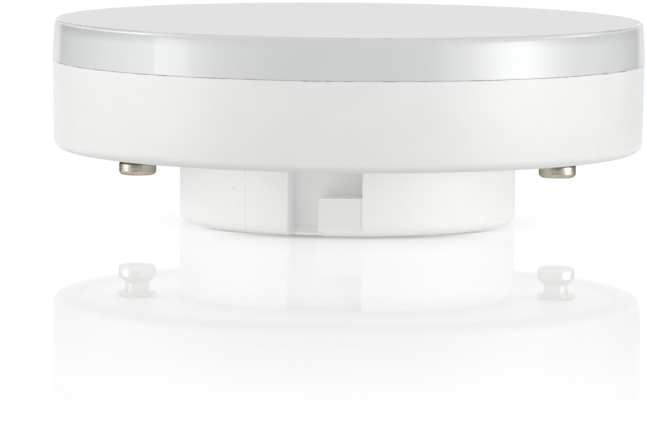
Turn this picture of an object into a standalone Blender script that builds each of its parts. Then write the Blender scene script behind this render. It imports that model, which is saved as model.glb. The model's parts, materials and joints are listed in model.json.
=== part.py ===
"""LED disc lamp with a two-pin twist cap.

The lamp stands on the foot of its round boss, with the opal cover on top.
Origin: centre of the boss's foot. +Z runs up through the cover, and the two contact pins lie on the X axis.
All lengths are in metres, written as millimetres times MM.
"""

import math

import bmesh
import bpy
from mathutils import Matrix

MM = 0.001

# Clearances and fineness
FIT_GAP = 0.3 * MM  # between a piece and what it seats on
PAST = 1.0 * MM  # how far a cutter runs past the face that it opens
BITE = 0.02 * MM  # how far a rounding cutter reaches into the face that it meets
BODY_SEGMENTS = 72
DISC_SEGMENTS = 48
SMALL_SEGMENTS = 20
TINY_SEGMENTS = 12
ARC_STEPS = 4

# Contact pins
PIN_SPACING = 53.0 * MM
PIN_END_HEIGHT = 5.7 * MM
PIN_HEAD_RADIUS = 2.35 * MM
PIN_HEAD_LENGTH = 1.45 * MM
PIN_EDGE_FILLET = 0.45 * MM
PIN_CONE_LENGTH = 0.85 * MM
PIN_NECK_RADIUS = 1.5 * MM
PIN_SHOULDER_RADIUS = 2.4 * MM
PIN_SHOULDER_THICKNESS = 0.25 * MM
PIN_RIVET_RADIUS = 2.4 * MM
PIN_RIVET_THICKNESS = 0.4 * MM
PIN_TAIL_RADIUS = 0.8 * MM
PIN_TAIL_LENGTH = 1.1 * MM

# Overall form
PIN_TO_BOSS = 3.0 * MM  # from a pin's head to the boss
PIN_TO_EDGE = 10.75 * MM  # from a pin's axis to the lamp's edge
COVER_DRAFT = 0.3 * MM  # how much narrower the cover is at its top than at the seam
HOUSING_DRAFT = 0.2 * MM  # how much narrower the housing is at its foot
FLANGE_HEIGHT = 9.2 * MM
SIDE_HEIGHT = 11.1 * MM  # from the flange to the seam

# Diffuser
COVER_HEIGHT = 5.0 * MM
COVER_EDGE_FILLET = 0.45 * MM
COVER_WALL = 1.6 * MM
SEAM_GAP = 0.2 * MM
SKIRT_DEPTH = 0.27 * SIDE_HEIGHT
SKIRT_WALL = 1.3 * MM
SNAP_REACH = 0.5 * MM
SNAP_FLAT = 0.2 * MM
SNAP_ABOVE_SKIRT_END = 0.5 * MM

# Housing wall and flange
WALL = 1.8 * MM
FOOT_FILLET = 1.3 * MM
RIM_FILLET = 0.2 * MM
FLANGE_THICKNESS = 1.5 * MM
FLANGE_RECESS_DEPTH = 0.5 * MM
FLANGE_RIM_WIDTH = 3.0 * MM

# Boss under the flange
BOSS_FILLET = 1.2 * MM
BOSS_WALL = 1.7 * MM
BOSS_FLOOR = 1.6 * MM
FLOOR_RING_WIDTH = 6.15 * MM
FLOOR_DISH_DEPTH = 0.4 * MM

# Twist slots in the boss. The mould's side slide draws them out along one direction, turned by
# SLIDE_ANGLE from the front, and widths are measured across that direction.
SLOT_COUNT = 2
SLIDE_ANGLE = math.radians(-17.0)
SLIDE_HALF_WIDTH = 7.5 * MM
CHANNEL_OFFSET = 0.18 * MM
CHANNEL_WIDTH = 4.04 * MM
SLOT_DEPTH = 3.7 * MM
SLOT_FOOT_FILLET = 0.9 * MM
ENTRY_EDGE_FILLET = 0.7 * MM
STOP_HEIGHT = 4.63 * MM
STOP_EDGE_FILLET = 0.3 * MM
STOP_CORNER_FILLET = 0.8 * MM
STOP_FACE_STEP = 0.12 * MM
POCKET_WALL = 1.5 * MM

# Posts that carry the film, the heat sink and the LED board
POST_COUNT = 3
POST_TO_WALL = 6.65 * MM
POST_START_ANGLE = math.radians(90.0)
POST_STEP_HEIGHT = 2.2 * MM
POST_STEP_RADIUS = 4.0 * MM
POST_RADIUS = 3.0 * MM
POST_HOLE_DEPTH = 3.2 * MM

# Sheet parts above the flange
FILM_THICKNESS = 0.3 * MM
FILM_TO_WALL = 2.25 * MM
SINK_THICKNESS = 1.2 * MM
SINK_BEND = 1.8 * MM
LED_BOARD_THICKNESS = 1.2 * MM
LED_BOARD_TO_WALL = 3.25 * MM
WIRE_HOLE_RADIUS = 2.6 * MM

# Screws
SCREW_RADIUS = 1.2 * MM
SCREW_TIP_RADIUS = 0.6 * MM
SCREW_TIP_LENGTH = 0.6 * MM
SCREW_HEAD_RADIUS = 2.5 * MM
SCREW_HEAD_HEIGHT = 1.7 * MM
SCREW_HEAD_FILLET = 0.8 * MM
CROSS_LENGTH = 2.6 * MM
CROSS_WIDTH = 0.7 * MM
CROSS_DEPTH = 1.0 * MM

# LED packages, in two rings
OUTER_LED_COUNT = 12
OUTER_LED_START = math.radians(15.0)
OUTER_LED_FROM_EDGE = 8.0 * MM
INNER_LED_COUNT = 6
INNER_LED_START = math.radians(30.0)
LED_WIDTH = 2.8 * MM
LED_LENGTH = 3.5 * MM
LED_THICKNESS = 0.7 * MM
LED_DISH_RADIUS = 1.05 * MM
LED_DISH_DEPTH = 0.25 * MM

# Driver board and its posts
DRIVER_BOARD_THICKNESS = 1.2 * MM
DRIVER_POST_COUNT = 4
DRIVER_POST_HEIGHT = 2.0 * MM
DRIVER_POST_RADIUS = 1.8 * MM
DRIVER_POST_FROM_EDGE = 2.25 * MM
DRIVER_POST_START = math.radians(45.0)

# Wires
WIRE_RADIUS = 0.55 * MM
WIRE_BEND = 1.5 * MM
INPUT_TURN_INSIDE_BORE = 1.2 * MM
INPUT_RISE = 2.4 * MM
INPUT_LANDING_FROM_EDGE = 2.05 * MM
OUTPUT_SPREAD = 0.95 * MM
OUTPUT_LANDING = 4.6 * MM

# Heights that follow
SEAM_HEIGHT = FLANGE_HEIGHT + SIDE_HEIGHT
COVER_FOOT = SEAM_HEIGHT + SEAM_GAP
COVER_TOP = COVER_FOOT + COVER_HEIGHT
SKIRT_END = SEAM_HEIGHT - SKIRT_DEPTH
SNAP_BOTTOM = SKIRT_END + SNAP_ABOVE_SKIRT_END
SNAP_TOP = SNAP_BOTTOM + SNAP_REACH + SNAP_FLAT
FLANGE_CEILING = FLANGE_HEIGHT + FLANGE_RECESS_DEPTH
FLANGE_FLOOR = FLANGE_CEILING + FLANGE_THICKNESS
POST_STEP_TOP = FLANGE_FLOOR + POST_STEP_HEIGHT
FILM_BOTTOM = POST_STEP_TOP + FIT_GAP
POST_TOP = FILM_BOTTOM + FILM_THICKNESS
SINK_BOTTOM = POST_TOP + FIT_GAP
SINK_TOP = SINK_BOTTOM + SINK_THICKNESS
LED_BOARD_BOTTOM = SINK_TOP + FIT_GAP
LED_BOARD_TOP = LED_BOARD_BOTTOM + LED_BOARD_THICKNESS
DRIVER_BOARD_BOTTOM = BOSS_FLOOR + DRIVER_POST_HEIGHT + FIT_GAP
DRIVER_BOARD_TOP = DRIVER_BOARD_BOTTOM + DRIVER_BOARD_THICKNESS
PARTS_BOTTOM = DRIVER_BOARD_TOP + FIT_GAP
PIN_HEAD_BACK = PIN_END_HEIGHT + PIN_HEAD_LENGTH
PIN_CONE_END = PIN_HEAD_BACK + PIN_CONE_LENGTH
PIN_SHOULDER_TOP = FLANGE_CEILING - FIT_GAP
PIN_RIVET_BOTTOM = FLANGE_FLOOR + FIT_GAP
PIN_RIVET_TOP = PIN_RIVET_BOTTOM + PIN_RIVET_THICKNESS
INPUT_WIRE_HEIGHT = PIN_RIVET_TOP + FIT_GAP + WIRE_RADIUS
OUTPUT_WIRE_HEIGHT = LED_BOARD_TOP + FIT_GAP + WIRE_RADIUS

# Radii and widths that follow
SEAM_RADIUS = PIN_SPACING / 2 + PIN_TO_EDGE
COVER_TOP_RADIUS = SEAM_RADIUS - COVER_DRAFT
FOOT_RADIUS = SEAM_RADIUS - HOUSING_DRAFT
INNER_RADIUS = FOOT_RADIUS - WALL
SKIRT_RADIUS = INNER_RADIUS - FIT_GAP
SINK_RADIUS = INNER_RADIUS - FIT_GAP
FILM_RADIUS = INNER_RADIUS - FILM_TO_WALL
LED_BOARD_RADIUS = INNER_RADIUS - LED_BOARD_TO_WALL
OUTER_LED_RADIUS = LED_BOARD_RADIUS - OUTER_LED_FROM_EDGE
INNER_LED_RADIUS = OUTER_LED_RADIUS / 2
POST_CIRCLE_RADIUS = INNER_RADIUS - POST_TO_WALL
BOSS_RADIUS = PIN_SPACING / 2 - PIN_HEAD_RADIUS - PIN_TO_BOSS
FLOOR_DISH_RADIUS = BOSS_RADIUS - FLOOR_RING_WIDTH
BOSS_INNER_RADIUS = BOSS_RADIUS - BOSS_WALL
SLOT_BACK_RADIUS = BOSS_RADIUS - SLOT_DEPTH
POCKET_RADIUS = SLOT_BACK_RADIUS - POCKET_WALL
DRIVER_BOARD_RADIUS = POCKET_RADIUS - FIT_GAP
DRIVER_POST_CIRCLE = DRIVER_BOARD_RADIUS - DRIVER_POST_FROM_EDGE
INPUT_LANDING = DRIVER_BOARD_RADIUS - INPUT_LANDING_FROM_EDGE
PIN_HOLE_RADIUS = PIN_NECK_RADIUS + FIT_GAP
SCREW_HOLE_RADIUS = SCREW_RADIUS + FIT_GAP
CHANNEL_LEFT = CHANNEL_OFFSET - CHANNEL_WIDTH / 2
CHANNEL_RIGHT = CHANNEL_OFFSET + CHANNEL_WIDTH / 2

# Parts on the driver board. Their places, as (x, y), and their sizes across the board are shares of its
# radius, so that they keep clear of each other and of the boss.
CAN_RADIUS = 0.2 * DRIVER_BOARD_RADIUS
CAN_LENGTH = 0.7 * DRIVER_BOARD_RADIUS
CAN_FILLET = 0.4 * MM
CAN_CRIMP_DEPTH = 0.35 * MM
CAN_CRIMP_FROM_END = 1.6 * MM
CAN_CRIMP_WIDTH = 0.8 * MM
CAN_PLACE = (0.0, -0.59 * DRIVER_BOARD_RADIUS)
FILM_CAPACITOR_HEIGHT = 6.0 * MM
FILM_CAPACITOR_SIZE = (0.46 * DRIVER_BOARD_RADIUS, 0.22 * DRIVER_BOARD_RADIUS, FILM_CAPACITOR_HEIGHT)
FILM_CAPACITOR_BEVEL = 0.6 * MM
FILM_CAPACITOR_PLACE = (0.41 * DRIVER_BOARD_RADIUS, 0.625 * DRIVER_BOARD_RADIUS)
CORE_TO_FILM = 1.1 * MM
CORE_HEIGHT = FILM_BOTTOM - PARTS_BOTTOM - CORE_TO_FILM
CORE_SIZE = (0.61 * DRIVER_BOARD_RADIUS, 0.29 * DRIVER_BOARD_RADIUS, CORE_HEIGHT)
CORE_LEG = 1.3 * MM
WINDING_LENGTH = 0.45 * DRIVER_BOARD_RADIUS
WINDING_BEVEL = 0.5 * MM
TRANSFORMER_PLACE = (-0.45 * DRIVER_BOARD_RADIUS, 0.3 * DRIVER_BOARD_RADIUS)
CHOKE_RADIUS = 0.165 * DRIVER_BOARD_RADIUS
CHOKE_HEIGHT = 5.6 * MM
CHOKE_RIM = 0.9 * MM
CHOKE_WAIST_DEPTH = 0.6 * MM
CHOKE_PLACE = (0.33 * DRIVER_BOARD_RADIUS, 0.23 * DRIVER_BOARD_RADIUS)
RESISTOR_RADIUS = 0.083 * DRIVER_BOARD_RADIUS
RESISTOR_LENGTH = 0.45 * DRIVER_BOARD_RADIUS
RESISTOR_WAIST_DEPTH = 0.2 * MM
RESISTOR_CAP_LENGTH = 1.5 * MM
RESISTOR_TAPER = 0.5 * MM
RESISTOR_PLACE = (0.68 * DRIVER_BOARD_RADIUS, 0.25 * DRIVER_BOARD_RADIUS)
RECTIFIER_HEIGHT = 1.6 * MM
RECTIFIER_SIZE = (0.3 * DRIVER_BOARD_RADIUS, 0.25 * DRIVER_BOARD_RADIUS, RECTIFIER_HEIGHT)
RECTIFIER_PLACE = (0.6 * DRIVER_BOARD_RADIUS, -0.29 * DRIVER_BOARD_RADIUS)
CHIP_HEIGHT = 1.5 * MM
CHIP_SIZE = (0.31 * DRIVER_BOARD_RADIUS, 0.25 * DRIVER_BOARD_RADIUS, CHIP_HEIGHT)
CHIP_PLACE = (-0.55 * DRIVER_BOARD_RADIUS, -0.27 * DRIVER_BOARD_RADIUS)
PACKAGE_BEVEL = 0.25 * MM

# Surface finishes: colour, roughness, metallic
FINISHES = {
    "opal_cover": ((0.86, 0.87, 0.87), 0.15, 0.0),
    "white_housing": ((0.88, 0.88, 0.87), 0.38, 0.0),
    "nickel_pin": ((0.62, 0.57, 0.50), 0.28, 1.0),
    "aluminium_sheet": ((0.74, 0.75, 0.76), 0.35, 1.0),
    "insulating_film": ((0.80, 0.78, 0.68), 0.45, 0.0),
    "led_board_white": ((0.90, 0.90, 0.88), 0.40, 0.0),
    "led_package": ((0.93, 0.82, 0.42), 0.35, 0.0),
    "screw_steel": ((0.66, 0.66, 0.67), 0.30, 1.0),
    "driver_board_green": ((0.10, 0.32, 0.16), 0.45, 0.0),
    "capacitor_sleeve": ((0.06, 0.07, 0.10), 0.35, 0.0),
    "film_capacitor_red": ((0.55, 0.12, 0.07), 0.35, 0.0),
    "ferrite": ((0.10, 0.10, 0.11), 0.60, 0.0),
    "winding_tape": ((0.85, 0.68, 0.18), 0.40, 0.0),
    "component_black": ((0.04, 0.04, 0.05), 0.40, 0.0),
    "resistor_body": ((0.30, 0.46, 0.52), 0.45, 0.0),
    "wire_red": ((0.60, 0.06, 0.05), 0.45, 0.0),
    "wire_black": ((0.03, 0.03, 0.03), 0.45, 0.0),
}


# Scene and materials


def clear_scene():
    for obj in list(bpy.data.objects):
        bpy.data.objects.remove(obj, do_unlink=True)


def new_collection(name):
    collection = bpy.data.collections.new(name)
    bpy.context.scene.collection.children.link(collection)
    return collection


def make_material(name):
    colour, roughness, metallic = FINISHES[name]
    material = bpy.data.materials.new(name)
    material.use_nodes = True
    shader = material.node_tree.nodes["Principled BSDF"]
    shader.inputs["Base Color"].default_value = (*colour, 1.0)
    shader.inputs["Roughness"].default_value = roughness
    shader.inputs["Metallic"].default_value = metallic
    material.diffuse_color = (*colour, 1.0)
    return material


def add_part(obj, finish):
    """Put an object among the lamp's parts, as a plain mesh with its material."""
    if obj.modifiers or obj.type == "CURVE":
        obj = baked(obj)
    LAMP.objects.link(obj)
    obj.data.materials.clear()
    obj.data.materials.append(MATERIALS[finish])


def add_cutter(obj):
    CUTTERS.objects.link(obj)
    obj.hide_render = True
    obj.display_type = "WIRE"
    return obj


# Outlines


def arc(centre_x, centre_y, radius, start, end, steps=ARC_STEPS):
    """Points along an arc, from the start to the end angle in degrees."""
    angles = [math.radians(start + (end - start) * step / steps) for step in range(steps + 1)]
    return [(centre_x + radius * math.cos(a), centre_y + radius * math.sin(a)) for a in angles]


def rounded(corners, steps=ARC_STEPS):
    """Points of an open line through corners (x, y, radius), with an arc at a corner that has a radius."""
    points = [corners[0][:2]]
    for before, corner, after in zip(corners, corners[1:], corners[2:]):
        x, y, radius = corner
        if radius == 0:
            points.append((x, y))
            continue
        to_before = math.atan2(before[1] - y, before[0] - x)
        to_after = math.atan2(after[1] - y, after[0] - x)
        opening = (to_after - to_before + math.pi) % (2 * math.pi) - math.pi
        middle = to_before + opening / 2
        reach = radius / math.sin(abs(opening) / 2)
        half_sweep = math.copysign((math.pi - abs(opening)) / 2, opening)
        start = math.degrees(middle + math.pi + half_sweep)
        end = math.degrees(middle + math.pi - half_sweep)
        centre_x = x + reach * math.cos(middle)
        centre_y = y + reach * math.sin(middle)
        points += arc(centre_x, centre_y, radius, start, end, steps)
    points.append(corners[-1][:2])
    return points


def circle(radius, segments, x=0.0, y=0.0):
    return arc(x, y, radius, 0, 360, segments)[:-1]


def ring_places(count, radius, start):
    """(x, y, angle) of places spaced evenly round the axis."""
    angles = [start + 2 * math.pi * index / count for index in range(count)]
    return [(radius * math.cos(a), radius * math.sin(a), a) for a in angles]


# Shapes


def object_from_bmesh(name, bm):
    mesh = bpy.data.meshes.new(name)
    bm.to_mesh(mesh)
    bm.free()
    mesh.shade_smooth()
    mesh.set_sharp_from_angle(angle=math.radians(32))
    return bpy.data.objects.new(name, mesh)


def turned(name, profile, segments, closed=False):
    """Turn a line of (radius, height) points about Z. It runs down the outer side."""
    bm = bmesh.new()
    verts = [bm.verts.new((radius, 0, height)) for radius, height in profile]
    for first, second in zip(verts, verts[1:]):
        bm.edges.new((first, second))
    if closed:
        bm.edges.new((verts[-1], verts[0]))
    mesh = bpy.data.meshes.new(name)
    bm.to_mesh(mesh)
    bm.free()
    obj = bpy.data.objects.new(name, mesh)
    screw = obj.modifiers.new("turn", "SCREW")
    screw.steps = segments
    screw.render_steps = segments
    screw.use_merge_vertices = True
    screw.merge_threshold = 0.01 * MM
    screw.use_smooth_shade = True
    return obj


def baked(obj):
    """Replace a curve, or an object with modifiers, by a plain mesh object in its place."""
    bpy.context.scene.collection.objects.link(obj)
    bpy.context.view_layer.update()
    depsgraph = bpy.context.evaluated_depsgraph_get()
    mesh = bpy.data.meshes.new_from_object(obj.evaluated_get(depsgraph))
    bm = bmesh.new()
    bm.from_mesh(mesh)
    bmesh.ops.remove_doubles(bm, verts=bm.verts, dist=0.001 * MM)
    bmesh.ops.recalc_face_normals(bm, faces=bm.faces)
    name = obj.name
    matrix = obj.matrix_world.copy()
    bpy.data.objects.remove(obj, do_unlink=True)
    bpy.data.meshes.remove(mesh)
    result = object_from_bmesh(name, bm)
    result.matrix_world = matrix
    return result


def prism(name, outlines, low, high):
    """Flat outlines, the first one outside and the others as holes, extruded from one height to another."""
    curve = bpy.data.curves.new(name, "CURVE")
    curve.dimensions = "2D"
    curve.fill_mode = "BOTH"
    curve.extrude = (high - low) / 2
    for outline in outlines:
        spline = curve.splines.new("POLY")
        spline.points.add(len(outline) - 1)
        for point, (x, y) in zip(spline.points, outline):
            point.co = (x, y, 0, 1)
        spline.use_cyclic_u = True
    solid = baked(bpy.data.objects.new(name, curve))
    solid.data.transform(Matrix.Translation((0, 0, (low + high) / 2)))
    return solid


def cylinder(name, radius, low, high, x=0.0, y=0.0, segments=SMALL_SEGMENTS):
    place = Matrix.Translation((x, y, (low + high) / 2))
    bm = bmesh.new()
    bmesh.ops.create_cone(
        bm, cap_ends=True, segments=segments, radius1=radius, radius2=radius, depth=high - low, matrix=place
    )
    return object_from_bmesh(name, bm)


def block(name, size, centre, bevel=0.0):
    bm = bmesh.new()
    place = Matrix.Translation(centre) @ Matrix.Diagonal((*size, 1.0))
    bmesh.ops.create_cube(bm, size=1.0, matrix=place)
    obj = object_from_bmesh(name, bm)
    if bevel:
        rounding = obj.modifiers.new("edges", "BEVEL")
        rounding.width = bevel
        rounding.segments = 2
    return obj


def wire(name, corners):
    """A round wire in the XZ plane, through corners (x, z, radius)."""
    curve = bpy.data.curves.new(name, "CURVE")
    curve.dimensions = "3D"
    curve.bevel_depth = WIRE_RADIUS
    curve.bevel_resolution = 2
    curve.use_fill_caps = True
    points = rounded(corners)
    spline = curve.splines.new("POLY")
    spline.points.add(len(points) - 1)
    for point, (x, z) in zip(spline.points, points):
        point.co = (x, 0, z, 1)
    return bpy.data.objects.new(name, curve)


def combine(target, other, operation):
    modifier = target.modifiers.new(other.name, "BOOLEAN")
    modifier.object = other
    modifier.operation = operation
    modifier.solver = "EXACT"


def cut(target, cutter):
    combine(target, add_cutter(cutter), "DIFFERENCE")


def join(target, addition):
    combine(target, add_cutter(addition), "UNION")


def within(ring, outline, low, high):
    """The part of a turned ring that lies inside an upright outline."""
    limit = add_cutter(prism(ring.name + "_limit", [outline], low, high))
    combine(ring, limit, "INTERSECT")
    solid = baked(ring)
    bpy.data.objects.remove(limit, do_unlink=True)
    return solid


# Housing


def housing_section():
    """The moulding's section, from the boss's inner floor over the rim and down the outside."""
    recess_outer = FOOT_RADIUS - FLANGE_RIM_WIDTH
    groove_bottom = SNAP_BOTTOM - FIT_GAP
    groove_top = SNAP_TOP + FIT_GAP
    groove_radius = INNER_RADIUS + SNAP_REACH
    corners = [
        (0, BOSS_FLOOR, 0),
        (BOSS_INNER_RADIUS, BOSS_FLOOR, 0),
        (BOSS_INNER_RADIUS, FLANGE_FLOOR, 0),
        (INNER_RADIUS, FLANGE_FLOOR, 0),
        (INNER_RADIUS, groove_bottom, 0),
        (groove_radius, groove_bottom + SNAP_REACH, 0),
        (groove_radius, groove_top, 0),
        (INNER_RADIUS, groove_top, 0),
        (INNER_RADIUS, SEAM_HEIGHT, 0),
        (SEAM_RADIUS, SEAM_HEIGHT, RIM_FILLET),
        (FOOT_RADIUS, FLANGE_HEIGHT, FOOT_FILLET),
        (recess_outer, FLANGE_HEIGHT, 0),
        (recess_outer, FLANGE_CEILING, 0),
        (BOSS_RADIUS, FLANGE_CEILING, 0),
        (BOSS_RADIUS, 0, BOSS_FILLET),
        (FLOOR_DISH_RADIUS, 0, 0),
        (FLOOR_DISH_RADIUS - FLOOR_DISH_DEPTH, FLOOR_DISH_DEPTH, 0),
        (0, FLOOR_DISH_DEPTH, 0),
    ]
    return rounded(corners)


def slot_ring():
    """A ring that reaches from outside the boss to the slot's back wall, whose foot it rounds."""
    outside = BOSS_RADIUS + PAST
    foot_centre = SLOT_BACK_RADIUS - SLOT_FOOT_FILLET
    foot = arc(foot_centre, SLOT_FOOT_FILLET - BITE, SLOT_FOOT_FILLET, -90, 0)
    below = (foot_centre, -PAST)
    profile = [(outside, FLANGE_HEIGHT), (outside, -PAST), below, *foot, (SLOT_BACK_RADIUS, FLANGE_HEIGHT)]
    return turned("slot_ring", profile, BODY_SEGMENTS, closed=True)


def boss_surface(across):
    """How far out the boss's surface lies along the slide's direction, at a distance across it."""
    return math.sqrt(BOSS_RADIUS**2 - across**2)


def strip(left, right, near, far):
    """A box outline in front of the axis, seen from above, between two distances from it."""
    return [(left, -near), (left, -far), (right, -far), (right, -near)]


def slot_cutter():
    """The whole slot, seen along the slide: an upright entry channel and a level leg under the flange."""
    near = SLOT_BACK_RADIUS / 2
    far = BOSS_RADIUS + 2 * PAST
    top = FLANGE_HEIGHT + PAST
    slot = prism("slot", [strip(CHANNEL_LEFT, CHANNEL_RIGHT, near, far)], -2 * PAST, top)
    additions = [
        prism("slot_leg", [strip(CHANNEL_OFFSET, SLIDE_HALF_WIDTH, near, far)], STOP_HEIGHT, top),
        upright_round("entry_edge", CHANNEL_LEFT, -1, ENTRY_EDGE_FILLET, FLANGE_HEIGHT + 2 * PAST),
        upright_round("stop_edge", CHANNEL_RIGHT, 1, STOP_EDGE_FILLET, STOP_HEIGHT + PAST),
        corner_round("stop_foot", 0, -1, STOP_CORNER_FILLET),
        corner_round("stop_top", STOP_HEIGHT, 1, STOP_EDGE_FILLET),
    ]
    for addition in additions:
        combine(slot, add_cutter(addition), "UNION")
    combine(slot, add_cutter(baked(slot_ring())), "INTERSECT")
    return baked(slot)


def stop_face():
    """The thin step by which the slide leaves the stop's face behind the boss's surface."""
    outside = BOSS_RADIUS + PAST
    top = STOP_HEIGHT + PAST
    foot_centre = BOSS_RADIUS - STOP_FACE_STEP - BOSS_FILLET
    foot = arc(foot_centre, BOSS_FILLET - BITE, BOSS_FILLET, -90, 0)
    face = (BOSS_RADIUS - STOP_FACE_STEP, top)
    profile = [(outside, top), (outside, -PAST), (foot_centre, -PAST), *foot, face]
    ring = turned("stop_ring", profile, BODY_SEGMENTS, closed=True)
    outline = strip(CHANNEL_RIGHT - PAST, SLIDE_HALF_WIDTH - BITE, BOSS_RADIUS / 2, BOSS_RADIUS + 2 * PAST)
    return within(ring, outline, -2 * PAST, top + PAST)


def upright_round(name, edge, side, fillet, top):
    """Rounds an upright edge of the slot. The material lies on the given side of it, -1 left or 1 right."""
    surface = boss_surface(edge)
    centre_x = edge + side * (fillet - BITE)
    centre_y = fillet - surface
    start = 180 if side > 0 else 0
    end = 270 if side > 0 else -90
    curve = arc(centre_x, centre_y, fillet, start, end)
    inside = edge - side * fillet
    outside = -(surface + PAST)
    return prism(name, [[*curve, (centre_x, outside), (inside, outside), (inside, centre_y)]], -PAST, top)


def corner_round(name, height, side, fillet):
    """Rounds a corner of the stop beside the entry, seen along the slide: side -1 its foot, 1 its top."""
    centre_x = CHANNEL_RIGHT + fillet - BITE
    centre_z = height - side * (fillet - BITE)
    curve = arc(centre_x, centre_z, fillet, 180, 180 - side * 90)
    left = CHANNEL_RIGHT - fillet
    outside = height + side * PAST
    outline = [*curve, (centre_x, outside), (left, outside), (left, centre_z)]
    solid = prism(name, [outline], SLOT_BACK_RADIUS / 2, BOSS_RADIUS + PAST)
    solid.data.transform(Matrix.Rotation(math.radians(90), 4, "X"))
    return solid


def pocket():
    """The wall that closes a slot off from the inside of the boss."""
    wall_middle = BOSS_INNER_RADIUS + BOSS_WALL / 2
    top = FLANGE_HEIGHT + POCKET_WALL
    bottom = BOSS_FLOOR / 2
    profile = [(wall_middle, top), (wall_middle, bottom), (POCKET_RADIUS, bottom), (POCKET_RADIUS, top)]
    ring = turned("pocket_ring", profile, BODY_SEGMENTS, closed=True)
    left = CHANNEL_LEFT - POCKET_WALL
    right = SLIDE_HALF_WIDTH + POCKET_WALL
    return within(ring, strip(left, right, POCKET_RADIUS / 2, BOSS_RADIUS), 0, top + PAST)


def make_slots(housing):
    """Both slots, each with its pocket wall inside the boss."""
    for solid, action in ((pocket(), join), (slot_cutter(), cut), (stop_face(), cut)):
        for index in range(SLOT_COUNT):
            copy = bpy.data.objects.new(f"{solid.name}_{index + 1}", solid.data)
            copy.rotation_euler.z = SLIDE_ANGLE + 2 * math.pi * index / SLOT_COUNT
            action(housing, copy)
        bpy.data.objects.remove(solid)


def add_posts(housing):
    """Stepped posts for the film, heat sink and LED board, and plain ones for the driver board."""
    root = FLANGE_FLOOR - FLANGE_THICKNESS / 2
    for x, y, _ in ring_places(POST_COUNT, POST_CIRCLE_RADIUS, POST_START_ANGLE):
        profile = [
            (0, POST_TOP),
            (POST_RADIUS, POST_TOP),
            (POST_RADIUS, POST_STEP_TOP),
            (POST_STEP_RADIUS, POST_STEP_TOP),
            (POST_STEP_RADIUS, root),
            (0, root),
        ]
        post = turned("post", profile, SMALL_SEGMENTS)
        post.location = (x, y, 0)
        join(housing, post)
    root = BOSS_FLOOR - (BOSS_FLOOR - FLOOR_DISH_DEPTH) / 2
    top = BOSS_FLOOR + DRIVER_POST_HEIGHT
    for x, y, _ in ring_places(DRIVER_POST_COUNT, DRIVER_POST_CIRCLE, DRIVER_POST_START):
        join(housing, cylinder("driver_post", DRIVER_POST_RADIUS, root, top, x, y, TINY_SEGMENTS))


def drill_housing(housing):
    for x, y, _ in ring_places(POST_COUNT, POST_CIRCLE_RADIUS, POST_START_ANGLE):
        bottom = POST_TOP - POST_HOLE_DEPTH
        cut(housing, cylinder("post_hole", SCREW_HOLE_RADIUS, bottom, POST_TOP + PAST, x, y, TINY_SEGMENTS))
    for side in (-1, 1):
        x = side * PIN_SPACING / 2
        low = FLANGE_CEILING - PAST
        cut(housing, cylinder("pin_hole", PIN_HOLE_RADIUS, low, FLANGE_FLOOR + PAST, x))


def make_housing():
    """One moulding: wall, flange, boss with its twist slots, and the posts inside."""
    housing = turned("housing", housing_section(), BODY_SEGMENTS)
    add_posts(housing)
    make_slots(housing)
    drill_housing(housing)
    add_part(housing, "white_housing")


# Diffuser and pins


def make_diffuser():
    """The opal cover, with a stepped skirt and a snap bead that holds it in the housing."""
    inner_wall = COVER_TOP_RADIUS - COVER_WALL
    skirt_inner = SKIRT_RADIUS - SKIRT_WALL
    shoulder = COVER_FOOT + COVER_WALL
    ceiling = COVER_TOP - COVER_WALL
    corners = [
        (0, COVER_TOP, 0),
        (COVER_TOP_RADIUS, COVER_TOP, COVER_EDGE_FILLET),
        (SEAM_RADIUS, COVER_FOOT, 0),
        (SKIRT_RADIUS, COVER_FOOT, 0),
        (SKIRT_RADIUS, SNAP_TOP, 0),
        (SKIRT_RADIUS + SNAP_REACH, SNAP_TOP, 0),
        (SKIRT_RADIUS + SNAP_REACH, SNAP_BOTTOM + SNAP_REACH, 0),
        (SKIRT_RADIUS, SNAP_BOTTOM, 0),
        (SKIRT_RADIUS, SKIRT_END, 0),
        (skirt_inner, SKIRT_END, 0),
        (skirt_inner, shoulder, 0),
        (inner_wall, shoulder, 0),
        (inner_wall, ceiling, 0),
        (0, ceiling, 0),
    ]
    add_part(turned("diffuser", rounded(corners), BODY_SEGMENTS), "opal_cover")


def make_pins():
    """Pins with tapered heads, each held in the flange between a shoulder and a riveted collar."""
    shoulder_bottom = PIN_SHOULDER_TOP - PIN_SHOULDER_THICKNESS
    tail_top = PIN_RIVET_TOP + PIN_TAIL_LENGTH
    corners = [
        (0, tail_top, 0),
        (PIN_TAIL_RADIUS, tail_top, 0),
        (PIN_TAIL_RADIUS, PIN_RIVET_TOP, 0),
        (PIN_RIVET_RADIUS, PIN_RIVET_TOP, 0),
        (PIN_RIVET_RADIUS, PIN_RIVET_BOTTOM, 0),
        (PIN_NECK_RADIUS, PIN_RIVET_BOTTOM, 0),
        (PIN_NECK_RADIUS, PIN_SHOULDER_TOP, 0),
        (PIN_SHOULDER_RADIUS, PIN_SHOULDER_TOP, 0),
        (PIN_SHOULDER_RADIUS, shoulder_bottom, 0),
        (PIN_NECK_RADIUS, shoulder_bottom, 0),
        (PIN_NECK_RADIUS, PIN_CONE_END, 0),
        (PIN_HEAD_RADIUS, PIN_HEAD_BACK, 0),
        (PIN_HEAD_RADIUS, PIN_END_HEIGHT, PIN_EDGE_FILLET),
        (0, PIN_END_HEIGHT, 0),
    ]
    for name, side in (("contact_pin_left", -1), ("contact_pin_right", 1)):
        pin = turned(name, rounded(corners, steps=3), SMALL_SEGMENTS)
        pin.location.x = side * PIN_SPACING / 2
        add_part(pin, "nickel_pin")


# Sheet parts, LEDs and screws


def post_holes(radius):
    """Round outlines at the places of the posts."""
    places = ring_places(POST_COUNT, POST_CIRCLE_RADIUS, POST_START_ANGLE)
    return [circle(radius, SMALL_SEGMENTS, x, y) for x, y, _ in places]


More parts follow.
